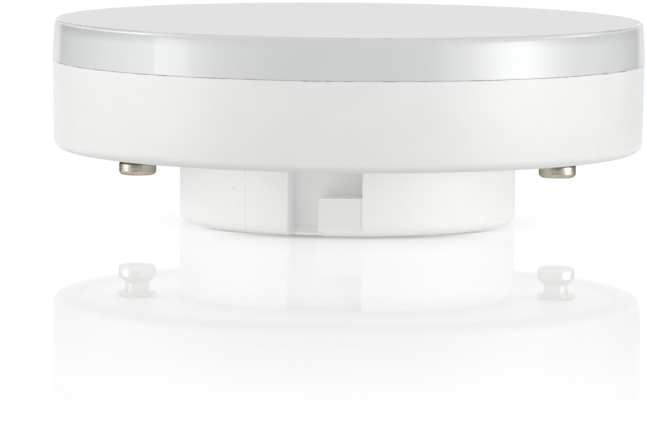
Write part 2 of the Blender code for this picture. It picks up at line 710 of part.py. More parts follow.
def make_film():
    outlines = [circle(FILM_RADIUS, DISC_SEGMENTS), circle(WIRE_HOLE_RADIUS, SMALL_SEGMENTS)]
    outlines += post_holes(POST_RADIUS + FIT_GAP)
    add_part(prism("insulating_film", outlines, FILM_BOTTOM, POST_TOP), "insulating_film")


def make_heat_sink():
    """A pressed pan: a flat top on the posts, and a rim turned down to the flange's inner floor."""
    rim_end = FLANGE_FLOOR + FIT_GAP
    corners = [
        (WIRE_HOLE_RADIUS, SINK_TOP, 0),
        (SINK_RADIUS, SINK_TOP, SINK_BEND),
        (SINK_RADIUS, rim_end, 0),
        (SINK_RADIUS - SINK_THICKNESS, rim_end, 0),
        (SINK_RADIUS - SINK_THICKNESS, SINK_BOTTOM, SINK_BEND - SINK_THICKNESS),
        (WIRE_HOLE_RADIUS, SINK_BOTTOM, 0),
    ]
    sink = turned("heat_sink", rounded(corners, steps=2), DISC_SEGMENTS, closed=True)
    for x, y, _ in ring_places(POST_COUNT, POST_CIRCLE_RADIUS, POST_START_ANGLE):
        low = SINK_BOTTOM - PAST
        cut(sink, cylinder("sink_hole", SCREW_HOLE_RADIUS, low, SINK_TOP + PAST, x, y, TINY_SEGMENTS))
    add_part(sink, "aluminium_sheet")


def make_led_board():
    outlines = [circle(LED_BOARD_RADIUS, DISC_SEGMENTS), circle(WIRE_HOLE_RADIUS, SMALL_SEGMENTS)]
    outlines += post_holes(SCREW_HOLE_RADIUS)
    add_part(prism("led_board", outlines, LED_BOARD_BOTTOM, LED_BOARD_TOP), "led_board_white")


def led_mesh():
    """One LED package: a low block with a round dish of phosphor in its top."""
    bottom = LED_BOARD_TOP + FIT_GAP
    top = bottom + LED_THICKNESS
    package = block("led_package", (LED_LENGTH, LED_WIDTH, LED_THICKNESS), (0, 0, (bottom + top) / 2))
    dish = cylinder("led_dish", LED_DISH_RADIUS, top - LED_DISH_DEPTH, top + PAST, segments=TINY_SEGMENTS)
    cut(package, dish)
    solid = baked(package)
    bpy.data.objects.remove(dish)
    return solid.data


def make_leds():
    mesh = led_mesh()
    places = ring_places(OUTER_LED_COUNT, OUTER_LED_RADIUS, OUTER_LED_START)
    places += ring_places(INNER_LED_COUNT, INNER_LED_RADIUS, INNER_LED_START)
    for number, (x, y, angle) in enumerate(places, start=1):
        led = bpy.data.objects.new(f"led_{number:02d}", mesh)
        led.location = (x, y, 0)
        led.rotation_euler.z = angle
        add_part(led, "led_package")


def screw_cross():
    """The cross recess of a screw's head, as two crossed bars."""
    top = LED_BOARD_TOP + FIT_GAP + SCREW_HEAD_HEIGHT
    middle = top - CROSS_DEPTH / 2 + PAST / 2
    height = CROSS_DEPTH + PAST
    long_bar = block("cross_bar", (CROSS_LENGTH, CROSS_WIDTH, height), (0, 0, middle))
    short_bar = add_cutter(block("cross_bar", (CROSS_WIDTH, CROSS_LENGTH, height), (0, 0, middle)))
    combine(long_bar, short_bar, "UNION")
    solid = baked(long_bar)
    bpy.data.objects.remove(short_bar)
    return solid


def make_screws():
    head_bottom = LED_BOARD_TOP + FIT_GAP
    head_top = head_bottom + SCREW_HEAD_HEIGHT
    tip = POST_TOP - POST_HOLE_DEPTH + FIT_GAP
    corners = [
        (0, head_top, 0),
        (SCREW_HEAD_RADIUS, head_top, SCREW_HEAD_FILLET),
        (SCREW_HEAD_RADIUS, head_bottom, 0),
        (SCREW_RADIUS, head_bottom, 0),
        (SCREW_RADIUS, tip + SCREW_TIP_LENGTH, 0),
        (SCREW_TIP_RADIUS, tip, 0),
        (0, tip, 0),
    ]
    cross = screw_cross()
    places = ring_places(POST_COUNT, POST_CIRCLE_RADIUS, POST_START_ANGLE)
    for number, (x, y, _) in enumerate(places, start=1):
        screw = turned(f"screw_{number}", rounded(corners, steps=2), TINY_SEGMENTS)
        screw.location = (x, y, 0)
        recess = bpy.data.objects.new(f"cross_{number}", cross.data)
        recess.location = (x, y, 0)
        cut(screw, recess)
        add_part(screw, "screw_steel")
    bpy.data.objects.remove(cross)


# Driver


def make_driver_board():
    outline = circle(DRIVER_BOARD_RADIUS, DISC_SEGMENTS)
    board = prism("driver_board", [outline], DRIVER_BOARD_BOTTOM, DRIVER_BOARD_TOP)
    add_part(board, "driver_board_green")


def board_block(name, size, place, finish, bevel):
    """A moulded block that stands on the driver board."""
    centre = (*place, PARTS_BOTTOM + size[2] / 2)
    add_part(block(name, size, centre, bevel), finish)


def make_electrolytic():
    """A can that lies on its side, with the crimp near one end."""
    crimp_top = CAN_LENGTH / 2 - CAN_CRIMP_FROM_END
    crimp_radius = CAN_RADIUS - CAN_CRIMP_DEPTH
    corners = [
        (0, CAN_LENGTH / 2, 0),
        (CAN_RADIUS, CAN_LENGTH / 2, CAN_FILLET),
        (CAN_RADIUS, crimp_top, 0),
        (crimp_radius, crimp_top - CAN_CRIMP_WIDTH / 2, 0),
        (CAN_RADIUS, crimp_top - CAN_CRIMP_WIDTH, 0),
        (CAN_RADIUS, -CAN_LENGTH / 2, CAN_FILLET),
        (0, -CAN_LENGTH / 2, 0),
    ]
    can = turned("electrolytic_capacitor", rounded(corners, steps=2), SMALL_SEGMENTS)
    can.rotation_euler.y = math.radians(90)
    can.location = (*CAN_PLACE, PARTS_BOTTOM + CAN_RADIUS)
    add_part(can, "capacitor_sleeve")


def make_transformer():
    """A square ring of ferrite that stands on the board, with the winding through its window."""
    width, depth, height = CORE_SIZE
    window_width = width - 2 * CORE_LEG
    window_height = height - 2 * CORE_LEG
    x, y = TRANSFORMER_PLACE
    middle = (x, y, PARTS_BOTTOM + height / 2)
    core = block("transformer_core", CORE_SIZE, middle)
    cut(core, block("core_window", (window_width, depth + 2 * PAST, window_height), middle))
    add_part(core, "ferrite")
    winding_size = (window_width - 2 * FIT_GAP, WINDING_LENGTH, window_height - 2 * FIT_GAP)
    add_part(block("transformer_winding", winding_size, middle, WINDING_BEVEL), "winding_tape")


def make_choke():
    waist = CHOKE_RADIUS - CHOKE_WAIST_DEPTH
    corners = [
        (0, CHOKE_HEIGHT),
        (CHOKE_RADIUS, CHOKE_HEIGHT),
        (CHOKE_RADIUS, CHOKE_HEIGHT - CHOKE_RIM),
        (waist, CHOKE_HEIGHT - CHOKE_RIM),
        (waist, CHOKE_RIM),
        (CHOKE_RADIUS, CHOKE_RIM),
        (CHOKE_RADIUS, 0),
        (0, 0),
    ]
    choke = turned("choke", corners, SMALL_SEGMENTS)
    choke.location = (*CHOKE_PLACE, PARTS_BOTTOM)
    add_part(choke, "ferrite")


def make_resistor():
    """A fusible resistor, whose coated body is a little thicker over its end caps."""
    half = RESISTOR_LENGTH / 2
    waist = RESISTOR_RADIUS - RESISTOR_WAIST_DEPTH
    cap_end = half - RESISTOR_CAP_LENGTH
    upper = [
        (0, half),
        (waist, half),
        (RESISTOR_RADIUS, half - RESISTOR_TAPER),
        (RESISTOR_RADIUS, cap_end),
        (waist, cap_end - RESISTOR_TAPER),
    ]
    lower = [(radius, -height) for radius, height in reversed(upper)]
    resistor = turned("fusible_resistor", upper + lower, SMALL_SEGMENTS)
    resistor.rotation_euler.x = math.radians(90)
    resistor.location = (*RESISTOR_PLACE, PARTS_BOTTOM + RESISTOR_RADIUS)
    add_part(resistor, "resistor_body")


def make_driver():
    make_driver_board()
    make_electrolytic()
    make_transformer()
    make_choke()
    make_resistor()
    size = FILM_CAPACITOR_SIZE
    board_block("film_capacitor", size, FILM_CAPACITOR_PLACE, "film_capacitor_red", FILM_CAPACITOR_BEVEL)
    board_block("bridge_rectifier", RECTIFIER_SIZE, RECTIFIER_PLACE, "component_black", PACKAGE_BEVEL)
    board_block("driver_chip", CHIP_SIZE, CHIP_PLACE, "component_black", PACKAGE_BEVEL)


# Wires


def make_wires():
    """Input wires from the pins' tails down into the boss, and output wires up through the middle."""
    tail = PIN_SPACING / 2 - PIN_TAIL_RADIUS - FIT_GAP
    input_corners = [
        (tail, INPUT_WIRE_HEIGHT, 0),
        (BOSS_INNER_RADIUS - INPUT_TURN_INSIDE_BORE, INPUT_WIRE_HEIGHT, WIRE_BEND),
        (INPUT_LANDING, PARTS_BOTTOM + INPUT_RISE, WIRE_BEND),
        (INPUT_LANDING, PARTS_BOTTOM, 0),
    ]
    output_corners = [
        (OUTPUT_SPREAD, PARTS_BOTTOM, 0),
        (OUTPUT_SPREAD, OUTPUT_WIRE_HEIGHT, WIRE_BEND),
        (OUTPUT_LANDING, OUTPUT_WIRE_HEIGHT, 0),
    ]
    wires = (
        ("input_wire_left", input_corners, -1, "wire_black"),
        ("input_wire_right", input_corners, 1, "wire_red"),
        ("output_wire_minus", output_corners, -1, "wire_black"),
        ("output_wire_plus", output_corners, 1, "wire_red"),
    )
    for name, corners, side, finish in wires:
        add_part(wire(name, [(side * x, z, radius) for x, z, radius in corners]), finish)


clear_scene()
LAMP = new_collection("led_disc_lamp")
CUTTERS = new_collection("cutters")
MATERIALS = {name: make_material(name) for name in FINISHES}
make_housing()
make_diffuser()
make_pins()
make_film()
make_heat_sink()
make_led_board()
make_leds()
make_screws()
make_driver()
make_wires()
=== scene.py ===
import json
import math

import bmesh
import bpy
from mathutils import Matrix, Vector

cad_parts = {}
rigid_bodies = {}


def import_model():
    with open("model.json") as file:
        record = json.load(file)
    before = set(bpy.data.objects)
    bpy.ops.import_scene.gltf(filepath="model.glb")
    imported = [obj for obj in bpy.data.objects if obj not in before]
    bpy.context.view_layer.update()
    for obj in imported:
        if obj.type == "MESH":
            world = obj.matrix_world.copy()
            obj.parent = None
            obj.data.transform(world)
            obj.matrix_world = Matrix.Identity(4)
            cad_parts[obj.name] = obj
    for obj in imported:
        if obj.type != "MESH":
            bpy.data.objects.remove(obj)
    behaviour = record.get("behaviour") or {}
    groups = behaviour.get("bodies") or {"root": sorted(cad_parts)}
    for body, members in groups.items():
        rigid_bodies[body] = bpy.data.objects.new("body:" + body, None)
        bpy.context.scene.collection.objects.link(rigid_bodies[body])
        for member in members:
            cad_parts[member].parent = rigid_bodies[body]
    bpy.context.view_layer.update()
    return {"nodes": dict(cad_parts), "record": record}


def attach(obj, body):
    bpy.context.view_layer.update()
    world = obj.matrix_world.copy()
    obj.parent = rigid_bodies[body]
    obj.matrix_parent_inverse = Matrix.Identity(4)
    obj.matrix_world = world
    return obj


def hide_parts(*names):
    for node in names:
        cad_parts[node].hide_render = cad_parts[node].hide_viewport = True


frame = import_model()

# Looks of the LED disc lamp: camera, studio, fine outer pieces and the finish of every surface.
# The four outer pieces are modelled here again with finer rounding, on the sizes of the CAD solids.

MM = 0.001

# Camera, found from the outlines in the photo: metres and degrees
IMAGE_WIDTH = 647
CAMERA_DISTANCE = 0.680
CAMERA_HEIGHT = 0.066396
CAMERA_PITCH = 5.497
CAMERA_ROLL = 0.488
CAMERA_PAN = -0.253
CAMERA_ROUND_LAMP = 1.236
FOCAL_LENGTH_PIXELS = 5404.6
SENSOR_WIDTH_MM = 36.0
CLIP_START = 0.01

# Fineness
BODY_SEGMENTS = 288
PIN_SEGMENTS = 64
HOLE_SEGMENTS = 48
ARC_STEPS = 10
SMOOTH_ANGLE = math.radians(32)
NORMAL_WEIGHT = 60

# Clearance between pieces, and how far a cutter reaches past a surface or into it
FIT_GAP = 0.3 * MM
PAST = 1.0 * MM
BITE = 0.02 * MM

# Contact pins, as in the CAD but with a rounder edge
PIN_SPACING = 53.0 * MM
PIN_END_HEIGHT = 5.7 * MM
PIN_HEAD_RADIUS = 2.35 * MM
PIN_HEAD_LENGTH = 1.45 * MM
PIN_EDGE_FILLET = 0.55 * MM
PIN_BACK_FILLET = 0.12 * MM
PIN_NECK_FILLET = 0.1 * MM
PIN_CONE_LENGTH = 0.85 * MM
PIN_NECK_RADIUS = 1.5 * MM
PIN_SHOULDER_RADIUS = 2.4 * MM
PIN_SHOULDER_THICKNESS = 0.25 * MM

# Overall form
PIN_TO_BOSS = 3.0 * MM
PIN_TO_EDGE = 10.75 * MM
COVER_DRAFT = 0.3 * MM
HOUSING_DRAFT = 0.2 * MM
FLANGE_HEIGHT = 9.2 * MM
SIDE_HEIGHT = 11.1 * MM
SEAM_HEIGHT = FLANGE_HEIGHT + SIDE_HEIGHT
SEAM_RADIUS = PIN_SPACING / 2 + PIN_TO_EDGE

# Cover
COVER_HEIGHT = 5.2 * MM
COVER_TOP_RADIUS = SEAM_RADIUS - COVER_DRAFT
COVER_EDGE_FILLET = 0.45 * MM
COVER_WALL = 1.6 * MM
# How the cover's side leans in: (share of its height, degrees)
COVER_LEAN = ((0.0, 0.5), (0.6, 3.0), (1.0, 9.4))
COVER_SIDE_STEPS = 30
SEAM_GAP = 0.04 * MM
SKIRT_DEPTH = 0.27 * SIDE_HEIGHT
SKIRT_WALL = 1.3 * MM

# Housing
WALL = 1.8 * MM
FOOT_RADIUS = SEAM_RADIUS - HOUSING_DRAFT
FOOT_FILLET = 1.3 * MM
RIM_FILLET = 0.1 * MM
RECESS_FILLET = 0.15 * MM
FLANGE_THICKNESS = 1.5 * MM
FLANGE_RECESS_DEPTH = 0.5 * MM
FLANGE_RIM_WIDTH = 3.0 * MM
BOSS_RADIUS = PIN_SPACING / 2 - PIN_HEAD_RADIUS - PIN_TO_BOSS
BOSS_FILLET = 1.2 * MM
BOSS_ROOT_FILLET = 0.3 * MM
BOSS_WALL = 1.7 * MM
BOSS_FLOOR = 1.6 * MM
FLOOR_DISH_RADIUS = BOSS_RADIUS - 6.15 * MM
FLOOR_DISH_DEPTH = 0.4 * MM

# Twist slots
SLIDE_ANGLE = math.radians(-17.0)
SLIDE_HALF_WIDTH = 7.5 * MM
CHANNEL_OFFSET = 0.18 * MM
CHANNEL_WIDTH = 4.04 * MM
SLOT_DEPTH = 3.7 * MM
SLOT_FOOT_FILLET = 0.9 * MM
ENTRY_EDGE_FILLET = 0.7 * MM
STOP_HEIGHT = 4.72 * MM
STOP_EDGE_FILLET = 0.3 * MM
STOP_CORNER_FILLET = 0.8 * MM
STOP_FACE_STEP = 0.12 * MM
POCKET_WALL = 1.5 * MM
CHANNEL_LEFT = CHANNEL_OFFSET - CHANNEL_WIDTH / 2
CHANNEL_RIGHT = CHANNEL_OFFSET + CHANNEL_WIDTH / 2

# Heights and radii that follow
COVER_FOOT = SEAM_HEIGHT + SEAM_GAP
COVER_TOP = SEAM_HEIGHT + COVER_HEIGHT
SKIRT_END = SEAM_HEIGHT - SKIRT_DEPTH
FLANGE_CEILING = FLANGE_HEIGHT + FLANGE_RECESS_DEPTH
FLANGE_FLOOR = FLANGE_CEILING + FLANGE_THICKNESS
INNER_RADIUS = FOOT_RADIUS - WALL
SKIRT_RADIUS = INNER_RADIUS - FIT_GAP
BOSS_INNER_RADIUS = BOSS_RADIUS - BOSS_WALL
SLOT_BACK_RADIUS = BOSS_RADIUS - SLOT_DEPTH
POCKET_RADIUS = SLOT_BACK_RADIUS - POCKET_WALL
PIN_SHOULDER_TOP = FLANGE_CEILING - FIT_GAP

# Studio. Azimuths are degrees from the camera's side, positive to the right, and a level of 1 is white.
# A soft box is its azimuth, how far it reaches to the left and to the right, and its level in the middle.
# LOW stands at the height of the lamp's side, MIDDLE above it and HIGH overhead.
LOW_BOXES = ((-74.5, 30, 21, 3.6), (-44, 14, 14, 0.4), (67, 23, 19.5, 7.4), (103, 20, 18, 0.5))
LOW_BASE = 0.0
# The wall behind the lamp: how far from the camera's side it begins and is whole, and its level
LOW_WALL = (148, 158, 0.72)
MIDDLE_BOXES = ((-95, 50, 40, 1.8), (77, 43, 30, 1.05))
MIDDLE_BASE = 0.28
MIDDLE_WALL = (110, 175, 0.42)
# Sharp edges of the two boxes: azimuth of the edge, where the extra light fades and ends, its level
BOX_EDGES = ((-81.7, -72.0, -60.0, 1.6), (35.0, 37.5, 45.0, 0.6))
HIGH = 0.7
# Where one level turns into the next, as the sine of the height above the table
LOW_TOP = (0.12, 0.20)
MIDDLE_TOP = (0.55, 0.75)
# The white backdrop that the table mirrors: its level, its foot as such a sine, its side in radians
BACKDROP = 1.08
BACKDROP_FOOT = (0.067, 0.078)
BACKDROP_SIDE = (2.93, 3.03)

# Table. Distances are from the lamp's axis.
FLOOR_SIZE = 8.0
FLOOR_COLOUR = 0.85
FLOOR_LIT_SHARE = 0.15
FLOOR_WHITE = 0.90
FLOOR_WHITE_MIRRORED = 0.885
# What the table gives back to the lamp: its level under the lamp, close round it and further out
GLOW_UNDER = 1.02
GLOW_CLOSE = 0.64
GLOW_OUT = 0.97
GLOW_CLOSE_FROM = (0.033, 0.038)
GLOW_OUT_FROM = (0.043, 0.066)
# It is less within the boss's foot: from, to, share
GLOW_FOOT = (0.0200, 0.0222, 0.75)
# Beyond this radius a mirrored ray sees the studio instead of the table
TABLE_RADIUS = 0.15
# The table's gloss, weaker close to the lamp and fading out with the distance
FLOOR_COAT = 0.62
FLOOR_COAT_INNER = 0.43
FLOOR_COAT_RISE = (0.078, 0.105)
FLOOR_COAT_FADE = (0.115, 0.200)
FLOOR_COAT_IOR = 1.5
FLOOR_COAT_ROUGHNESS = 0.02
# Shadow round the boss's foot: (distance in mm, colour)
CONTACT_SHADE = (
    (17.5, (0.80, 0.80, 0.79)), (18.6, (0.70, 0.70, 0.68)), (19.3, (0.26, 0.265, 0.22)),
    (21.0, (0.36, 0.365, 0.32)), (22.5, (0.52, 0.525, 0.49)), (24.0, (0.80, 0.80, 0.78)),
    (26.0, (0.89, 0.89, 0.88)), (30.0, (0.955, 0.955, 0.95)), (40.0, (1.0, 1.0, 1.0)),
)
CONTACT_SPAN = 50.0
# Its share at the sides, and where it grows to the whole, as the cosine of the angle from the front
CONTACT_SIDE_SHARE = 0.12
CONTACT_FRONT = (0.68, 0.95)
# The thin line right at the foot: where it ends, and its growth towards the front (from, to, low, high)
CONTACT_LINE = (0.0211, 0.0218)
CONTACT_LINE_FRONT = (0.38, 0.72, 0.1, 0.82)

# Plastic, and the range that soft noise keeps to
PLASTIC_IOR = 1.5
NOISE_RANGE = (0.3, 0.7)

# Opal cover
OPAL_COLOUR = (0.618, 0.625, 0.628, 1)
OPAL_DRIFT = (0.985, 1.015)
OPAL_ROUGHNESS = 0.035
# Painted light: the cover glows faintly all over
OPAL_GLOW = 0.095
OPAL_GLOW_COLOUR = (0.985, 1.0, 1.005, 1.0)
# Colour of the specks of dirt, and of the painted shade line along the top edge
OPAL_SHADE_AND_DIRT_COLOUR = (0.10, 0.09, 0.08, 1)
# Painted light and shade along its top edge: a dark line and a band of painted shade, and a light line of
# painted highlight: (azimuth, share) all round, and depth under the top
EDGE_DARK = (
    (-180, 0.0), (-84, 0.0), (-80, 0.5), (-56, 0.45), (-46, 0.3), (-42, 0.0),
    (54, 0.0), (60, 0.3), (78, 0.0),
)
EDGE_DARK_DEPTH = (0.02 * MM, 0.20 * MM)
EDGE_DARK_SOFT = 0.03 * MM
EDGE_LIGHT = (
    (-180, 0.0), (-57, 0.0), (-50, 0.5), (-43.5, 1.0), (-41, 0.3), (-30, 0.0),
    (38, 0.0), (50, 1.0), (56, 0.0),
)
EDGE_LIGHT_DEPTH = (0.26 * MM, 0.44 * MM)
EDGE_LIGHT_SOFT = 0.04 * MM
EDGE_LIGHT_GLOW = 0.26
EDGE_SHADE = (
    (-180, 0.0), (-85, 0.2), (-72, 0.9), (-43, 1.0), (-37, 0.7), (-29, 0.3), (-12, 0.0),
    (28, 0.0), (42, 0.6), (50, 0.8), (60, 0.55), (80, 0.2), (95, 0.0),
)
EDGE_SHADE_DEPTH = (0.42 * MM, 1.9 * MM)
EDGE_SHADE_LEVEL = 0.78
# Dark specks: x, y, z and radius in mm
COVER_SPECKS = ((-33.4, -15.5, 25.42, 0.16), (33.0, -16.4, 25.42, 0.16), (31.7, -18.6, 25.42, 0.10))
HOUSING_SPECKS = ((9.27, -36.03, 14.7, 0.09), (-14.4, -15.5, 5.5, 0.06), (-13.6, -16.2, 3.6, 0.06))

# Housing
HOUSING_COLOUR = (0.885, 0.885, 0.872, 1)
HOUSING_DRIFT = (0.985, 1.01)
HOUSING_ROUGHNESS = (0.36, 0.42)
# Painted shade: the slot's entry wall and the stop's face are darker than the rest
SLOT_WALL_SHADE_COLOUR = (0.79, 0.80, 0.795, 1)
STOP_FACE_SHADE_COLOUR = (0.815, 0.82, 0.80, 1)
# Painted shade at the rim's foot and at the boss's foot
RIM_FOOT_SHADE_COLOUR = (0.76, 0.76, 0.745, 1)
RIM_SHADE_HEIGHT = 1.1 * MM
BOSS_FOOT_SHADE_COLOUR = (0.82, 0.82, 0.805, 1)
BOSS_FOOT_SHADE = (0.3 * MM, 1.5 * MM)
SPECULAR_LEVEL = 0.5
FOOT_SPECULAR_LEVEL = 0.08
SLIDE_LINE_COLOUR = (0.70, 0.69, 0.66, 1)
SLIDE_LINE_HALF_WIDTH = 0.04 * MM
SEAM_DIRT_COLOUR = (0.16, 0.14, 0.11, 1)
SEAM_DIRT_DEPTH = (0.10 * MM, 0.02 * MM)
EDGE_ROOM = 0.1 * MM
# Painted light: the boss's colour is a little lighter, and a faint painted glow lights the inside of the
# slots
BOSS_PAINTED_LIGHT = 1.015
SLOT_PAINTED_GLOW = 0.03
SLOT_TINT = (0.92, 1.0, 1.04, 1)

# Pins' metal, with a band of painted shade round the head's back edge
PIN_COLOUR = (0.50, 0.462, 0.385, 1)
PIN_DRIFT = (0.86, 1.10)
PIN_ROUGHNESS = (0.05, 0.11)
PIN_BAND_SHADE = (0.10, 0.07, 0.045, 1)
PIN_EDGE_TINT = (0.35, 0.31, 0.26, 1)
PIN_TURNING = 9000.0

# The sealed inner pieces: how their roughness drifts, and how strong and deep their grain is
INNER_ROUGHNESS_DRIFT = 0.05
INNER_GRAIN_STRENGTH = 0.15
INNER_GRAIN_DEPTH = 0.02 * MM


# Camera


def make_camera():
    """The photo's camera: it looks down a little at the lamp from the front."""
    pitch, roll, pan = map(math.radians, (CAMERA_PITCH, CAMERA_ROLL, CAMERA_PAN))
    forward = Vector((math.sin(pan) * math.cos(pitch), math.cos(pan) * math.cos(pitch), -math.sin(pitch)))
    level = Vector((math.cos(pan), -math.sin(pan), 0))
    above = level.cross(forward)
    right = math.cos(roll) * level + math.sin(roll) * above
    up = -math.sin(roll) * level + math.cos(roll) * above
    matrix = Matrix((right, up, -forward)).transposed().to_4x4()
    matrix.translation = (0, -CAMERA_DISTANCE, CAMERA_HEIGHT)
    data = bpy.data.cameras.new("camera")
    data.sensor_width = SENSOR_WIDTH_MM
    data.lens = FOCAL_LENGTH_PIXELS / IMAGE_WIDTH * SENSOR_WIDTH_MM
    data.clip_start = CLIP_START
    camera = bpy.data.objects.new("camera", data)
    camera.matrix_world = Matrix.Rotation(-math.radians(CAMERA_ROUND_LAMP), 4, "Z") @ matrix
    bpy.context.scene.collection.objects.link(camera)
    bpy.context.scene.camera = camera


# Nodes of materials


def add_node(tree, kind, inputs=None, **settings):
    """A new node. An input's value is a number, a colour or another node's output."""
    item = tree.nodes.new(kind)
    for key, value in settings.items():
        setattr(item, key, value)
    for key, value in (inputs or {}).items():
        if isinstance(value, bpy.types.NodeSocket):
            tree.links.new(value, item.inputs[key])
        else:
            item.inputs[key].default_value = value
    return item


def math_node(tree, operation, first, second=0.0, third=0.0):
    inputs = {0: first, 1: second, 2: third}
    return add_node(tree, "ShaderNodeMath", inputs, operation=operation).outputs[0]


def product(tree, first, *others):
    """All the values multiplied."""
    for value in others:
        first = math_node(tree, "MULTIPLY", first, value)
    return first


def map_range(tree, value, low, high, to_low=0.0, to_high=1.0, smooth=False):
    kind = "SMOOTHSTEP" if smooth else "LINEAR"
    inputs = {"Value": value, "From Min": low, "From Max": high, "To Min": to_low, "To Max": to_high}
    return add_node(tree, "ShaderNodeMapRange", inputs, interpolation_type=kind).outputs[0]


def mix_value(tree, share, first, second):
    return add_node(tree, "ShaderNodeMix", {0: share, 2: first, 3: second}).outputs[0]


def mix_colour(tree, share, first, second, blend="MIX"):
    inputs = {0: share, 6: first, 7: second}
    return add_node(tree, "ShaderNodeMix", inputs, data_type="RGBA", blend_type=blend).outputs[2]


def colour_ramp(tree, value, stops):
    """Colours along a value from 0 to 1, from a list of (place, colour)."""
    ramp = add_node(tree, "ShaderNodeValToRGB", {0: value})
    elements = ramp.color_ramp.elements
    while len(elements) > 1:
        elements.remove(elements[-1])
    for index, (place, colour) in enumerate(stops):
        element = elements[0] if index == 0 else elements.new(place)
        element.position = place
        element.color = (*colour, 1.0)
    return ramp.outputs["Color"]


def new_material(name):
    material = bpy.data.materials.new(name)
    material.use_nodes = True
    tree = material.node_tree
    return material, tree, tree.nodes["Principled BSDF"]


def object_position(tree):
    return add_node(tree, "ShaderNodeTexCoord").outputs["Object"]


def split(tree, vector):
    """The three parts of a vector, by their names X, Y and Z."""
    return add_node(tree, "ShaderNodeSeparateXYZ", {0: vector}).outputs


def vector_value(tree, operation, *vectors):
    """A number from one or two vectors, such as a length or a distance."""
    item = add_node(tree, "ShaderNodeVectorMath", dict(enumerate(vectors)), operation=operation)
    return item.outputs["Value"]


def azimuth_of(tree, parts):
    """The azimuth in radians from the camera's side, positive to the right."""
    return math_node(tree, "ARCTAN2", parts["X"], math_node(tree, "MULTIPLY", parts["Y"], -1.0))


def varied(tree, position, size, low, high):
    """A value that drifts between two levels, in lumps of about that size."""
    return map_range(tree, noise(tree, position, size), *NOISE_RANGE, low, high)


def set_bump(tree, shader, height, strength, distance):
    bump = add_node(tree, "ShaderNodeBump", {"Strength": strength, "Distance": distance, "Height": height})
    tree.links.new(bump.outputs[0], shader.inputs["Normal"])


def noise(tree, position, size, detail=3.0):
    """Soft noise whose lumps are about that size, in metres."""
    inputs = {"Vector": position, "Scale": 1.0 / size, "Detail": detail, "Roughness": 0.55}
    return add_node(tree, "ShaderNodeTexNoise", inputs).outputs["Fac"]


# Studio


def soft_box(tree, azimuth, centre, left, right, level):
    """A box whose light falls off like a bell, with its own reach on either side."""
    offset = math_node(tree, "SUBTRACT", azimuth, math.radians(centre))
    offset = math_node(tree, "WRAP", offset, math.pi, -math.pi)
    before = math_node(tree, "DIVIDE", math_node(tree, "MINIMUM", offset, 0.0), math.radians(left))
    after = math_node(tree, "DIVIDE", math_node(tree, "MAXIMUM", offset, 0.0), math.radians(right))
    reach = math_node(tree, "ADD", before, after)
    bell = math_node(tree, "EXPONENT", product(tree, reach, reach, -1.0))
    return product(tree, bell, level)


def levels_round(tree, azimuth, boxes, base, wall):
    """How bright it is all round the lamp: an even base, the soft boxes and the wall behind."""
    begins, whole, level = wall
    side = math_node(tree, "ABSOLUTE", azimuth)
    span = (math.radians(begins), math.radians(whole))
    total = map_range(tree, side, *span, base, base + level, smooth=True)
    for box in boxes:
        total = math_node(tree, "ADD", total, soft_box(tree, azimuth, *box))
    return total


def make_world():
    """A white studio: bright boxes at left and right of the lamp, and an even sky above."""
    world = bpy.data.worlds.new("studio")
    world.use_nodes = True
    tree = world.node_tree
    background = tree.nodes["Background"]
    direction = add_node(tree, "ShaderNodeTexCoord").outputs["Generated"]
    parts = split(tree, direction)
    azimuth = azimuth_of(tree, parts)
    height = parts["Z"]
    behind = map_range(tree, math_node(tree, "ABSOLUTE", azimuth), *BACKDROP_SIDE, smooth=True)
    up = map_range(tree, height, *BACKDROP_FOOT, smooth=True)
    backdrop = product(tree, behind, up)
    boxes = levels_round(tree, azimuth, LOW_BOXES, LOW_BASE, LOW_WALL)
    for edge, fade, end, level in BOX_EDGES:
        past = math_node(tree, "GREATER_THAN", azimuth, math.radians(edge))
        box = map_range(tree, azimuth, math.radians(fade), math.radians(end), level, 0.0, smooth=True)
        boxes = math_node(tree, "MULTIPLY_ADD", past, box, boxes)
    low = mix_value(tree, backdrop, boxes, BACKDROP)
    lift = map_range(tree, height, *LOW_TOP, smooth=True)
    middle = levels_round(tree, azimuth, MIDDLE_BOXES, MIDDLE_BASE, MIDDLE_WALL)
    side = mix_value(tree, lift, low, middle)
    roof = map_range(tree, height, *MIDDLE_TOP, smooth=True)
    studio = mix_value(tree, roof, side, HIGH)
    seen = add_node(tree, "ShaderNodeLightPath").outputs["Is Camera Ray"]
    strength = mix_value(tree, seen, studio, 1.0)
    tree.links.new(strength, background.inputs["Strength"])
    background.inputs["Color"].default_value = (1.0, 1.0, 1.0, 1.0)
    bpy.context.scene.world = world


def make_floor():
    """A white glossy table. It mirrors the lamp faintly, less so further out, and keeps its shadow."""
    bm = bmesh.new()
    bmesh.ops.create_grid(bm, x_segments=1, y_segments=1, size=FLOOR_SIZE / 2)
    mesh = bpy.data.meshes.new("floor")
    bm.to_mesh(mesh)
    bm.free()
    floor = bpy.data.objects.new("floor", mesh)
    bpy.context.scene.collection.objects.link(floor)
    material, tree, table = new_material("white_table")
    position = object_position(tree)
    distance = vector_value(tree, "LENGTH", position)
    dress_table(tree, table, position, distance)
    rays = add_node(tree, "ShaderNodeLightPath").outputs
    seen_or_mirrored = math_node(tree, "MAXIMUM", rays["Is Camera Ray"], rays["Is Glossy Ray"])
    inputs = {0: seen_or_mirrored, 1: table_glow(tree, distance), 2: table.outputs[0]}
    whole = add_node(tree, "ShaderNodeMixShader", inputs)
    away = math_node(tree, "GREATER_THAN", distance, TABLE_RADIUS)
    beyond = product(tree, away, rays["Is Glossy Ray"])
    open_side = add_node(tree, "ShaderNodeBsdfTransparent")
    inputs = {0: beyond, 1: whole.outputs[0], 2: open_side.outputs[0]}
    studio = add_node(tree, "ShaderNodeMixShader", inputs)
    tree.links.new(studio.outputs[0], tree.nodes["Material Output"].inputs["Surface"])
    mesh.materials.append(material)


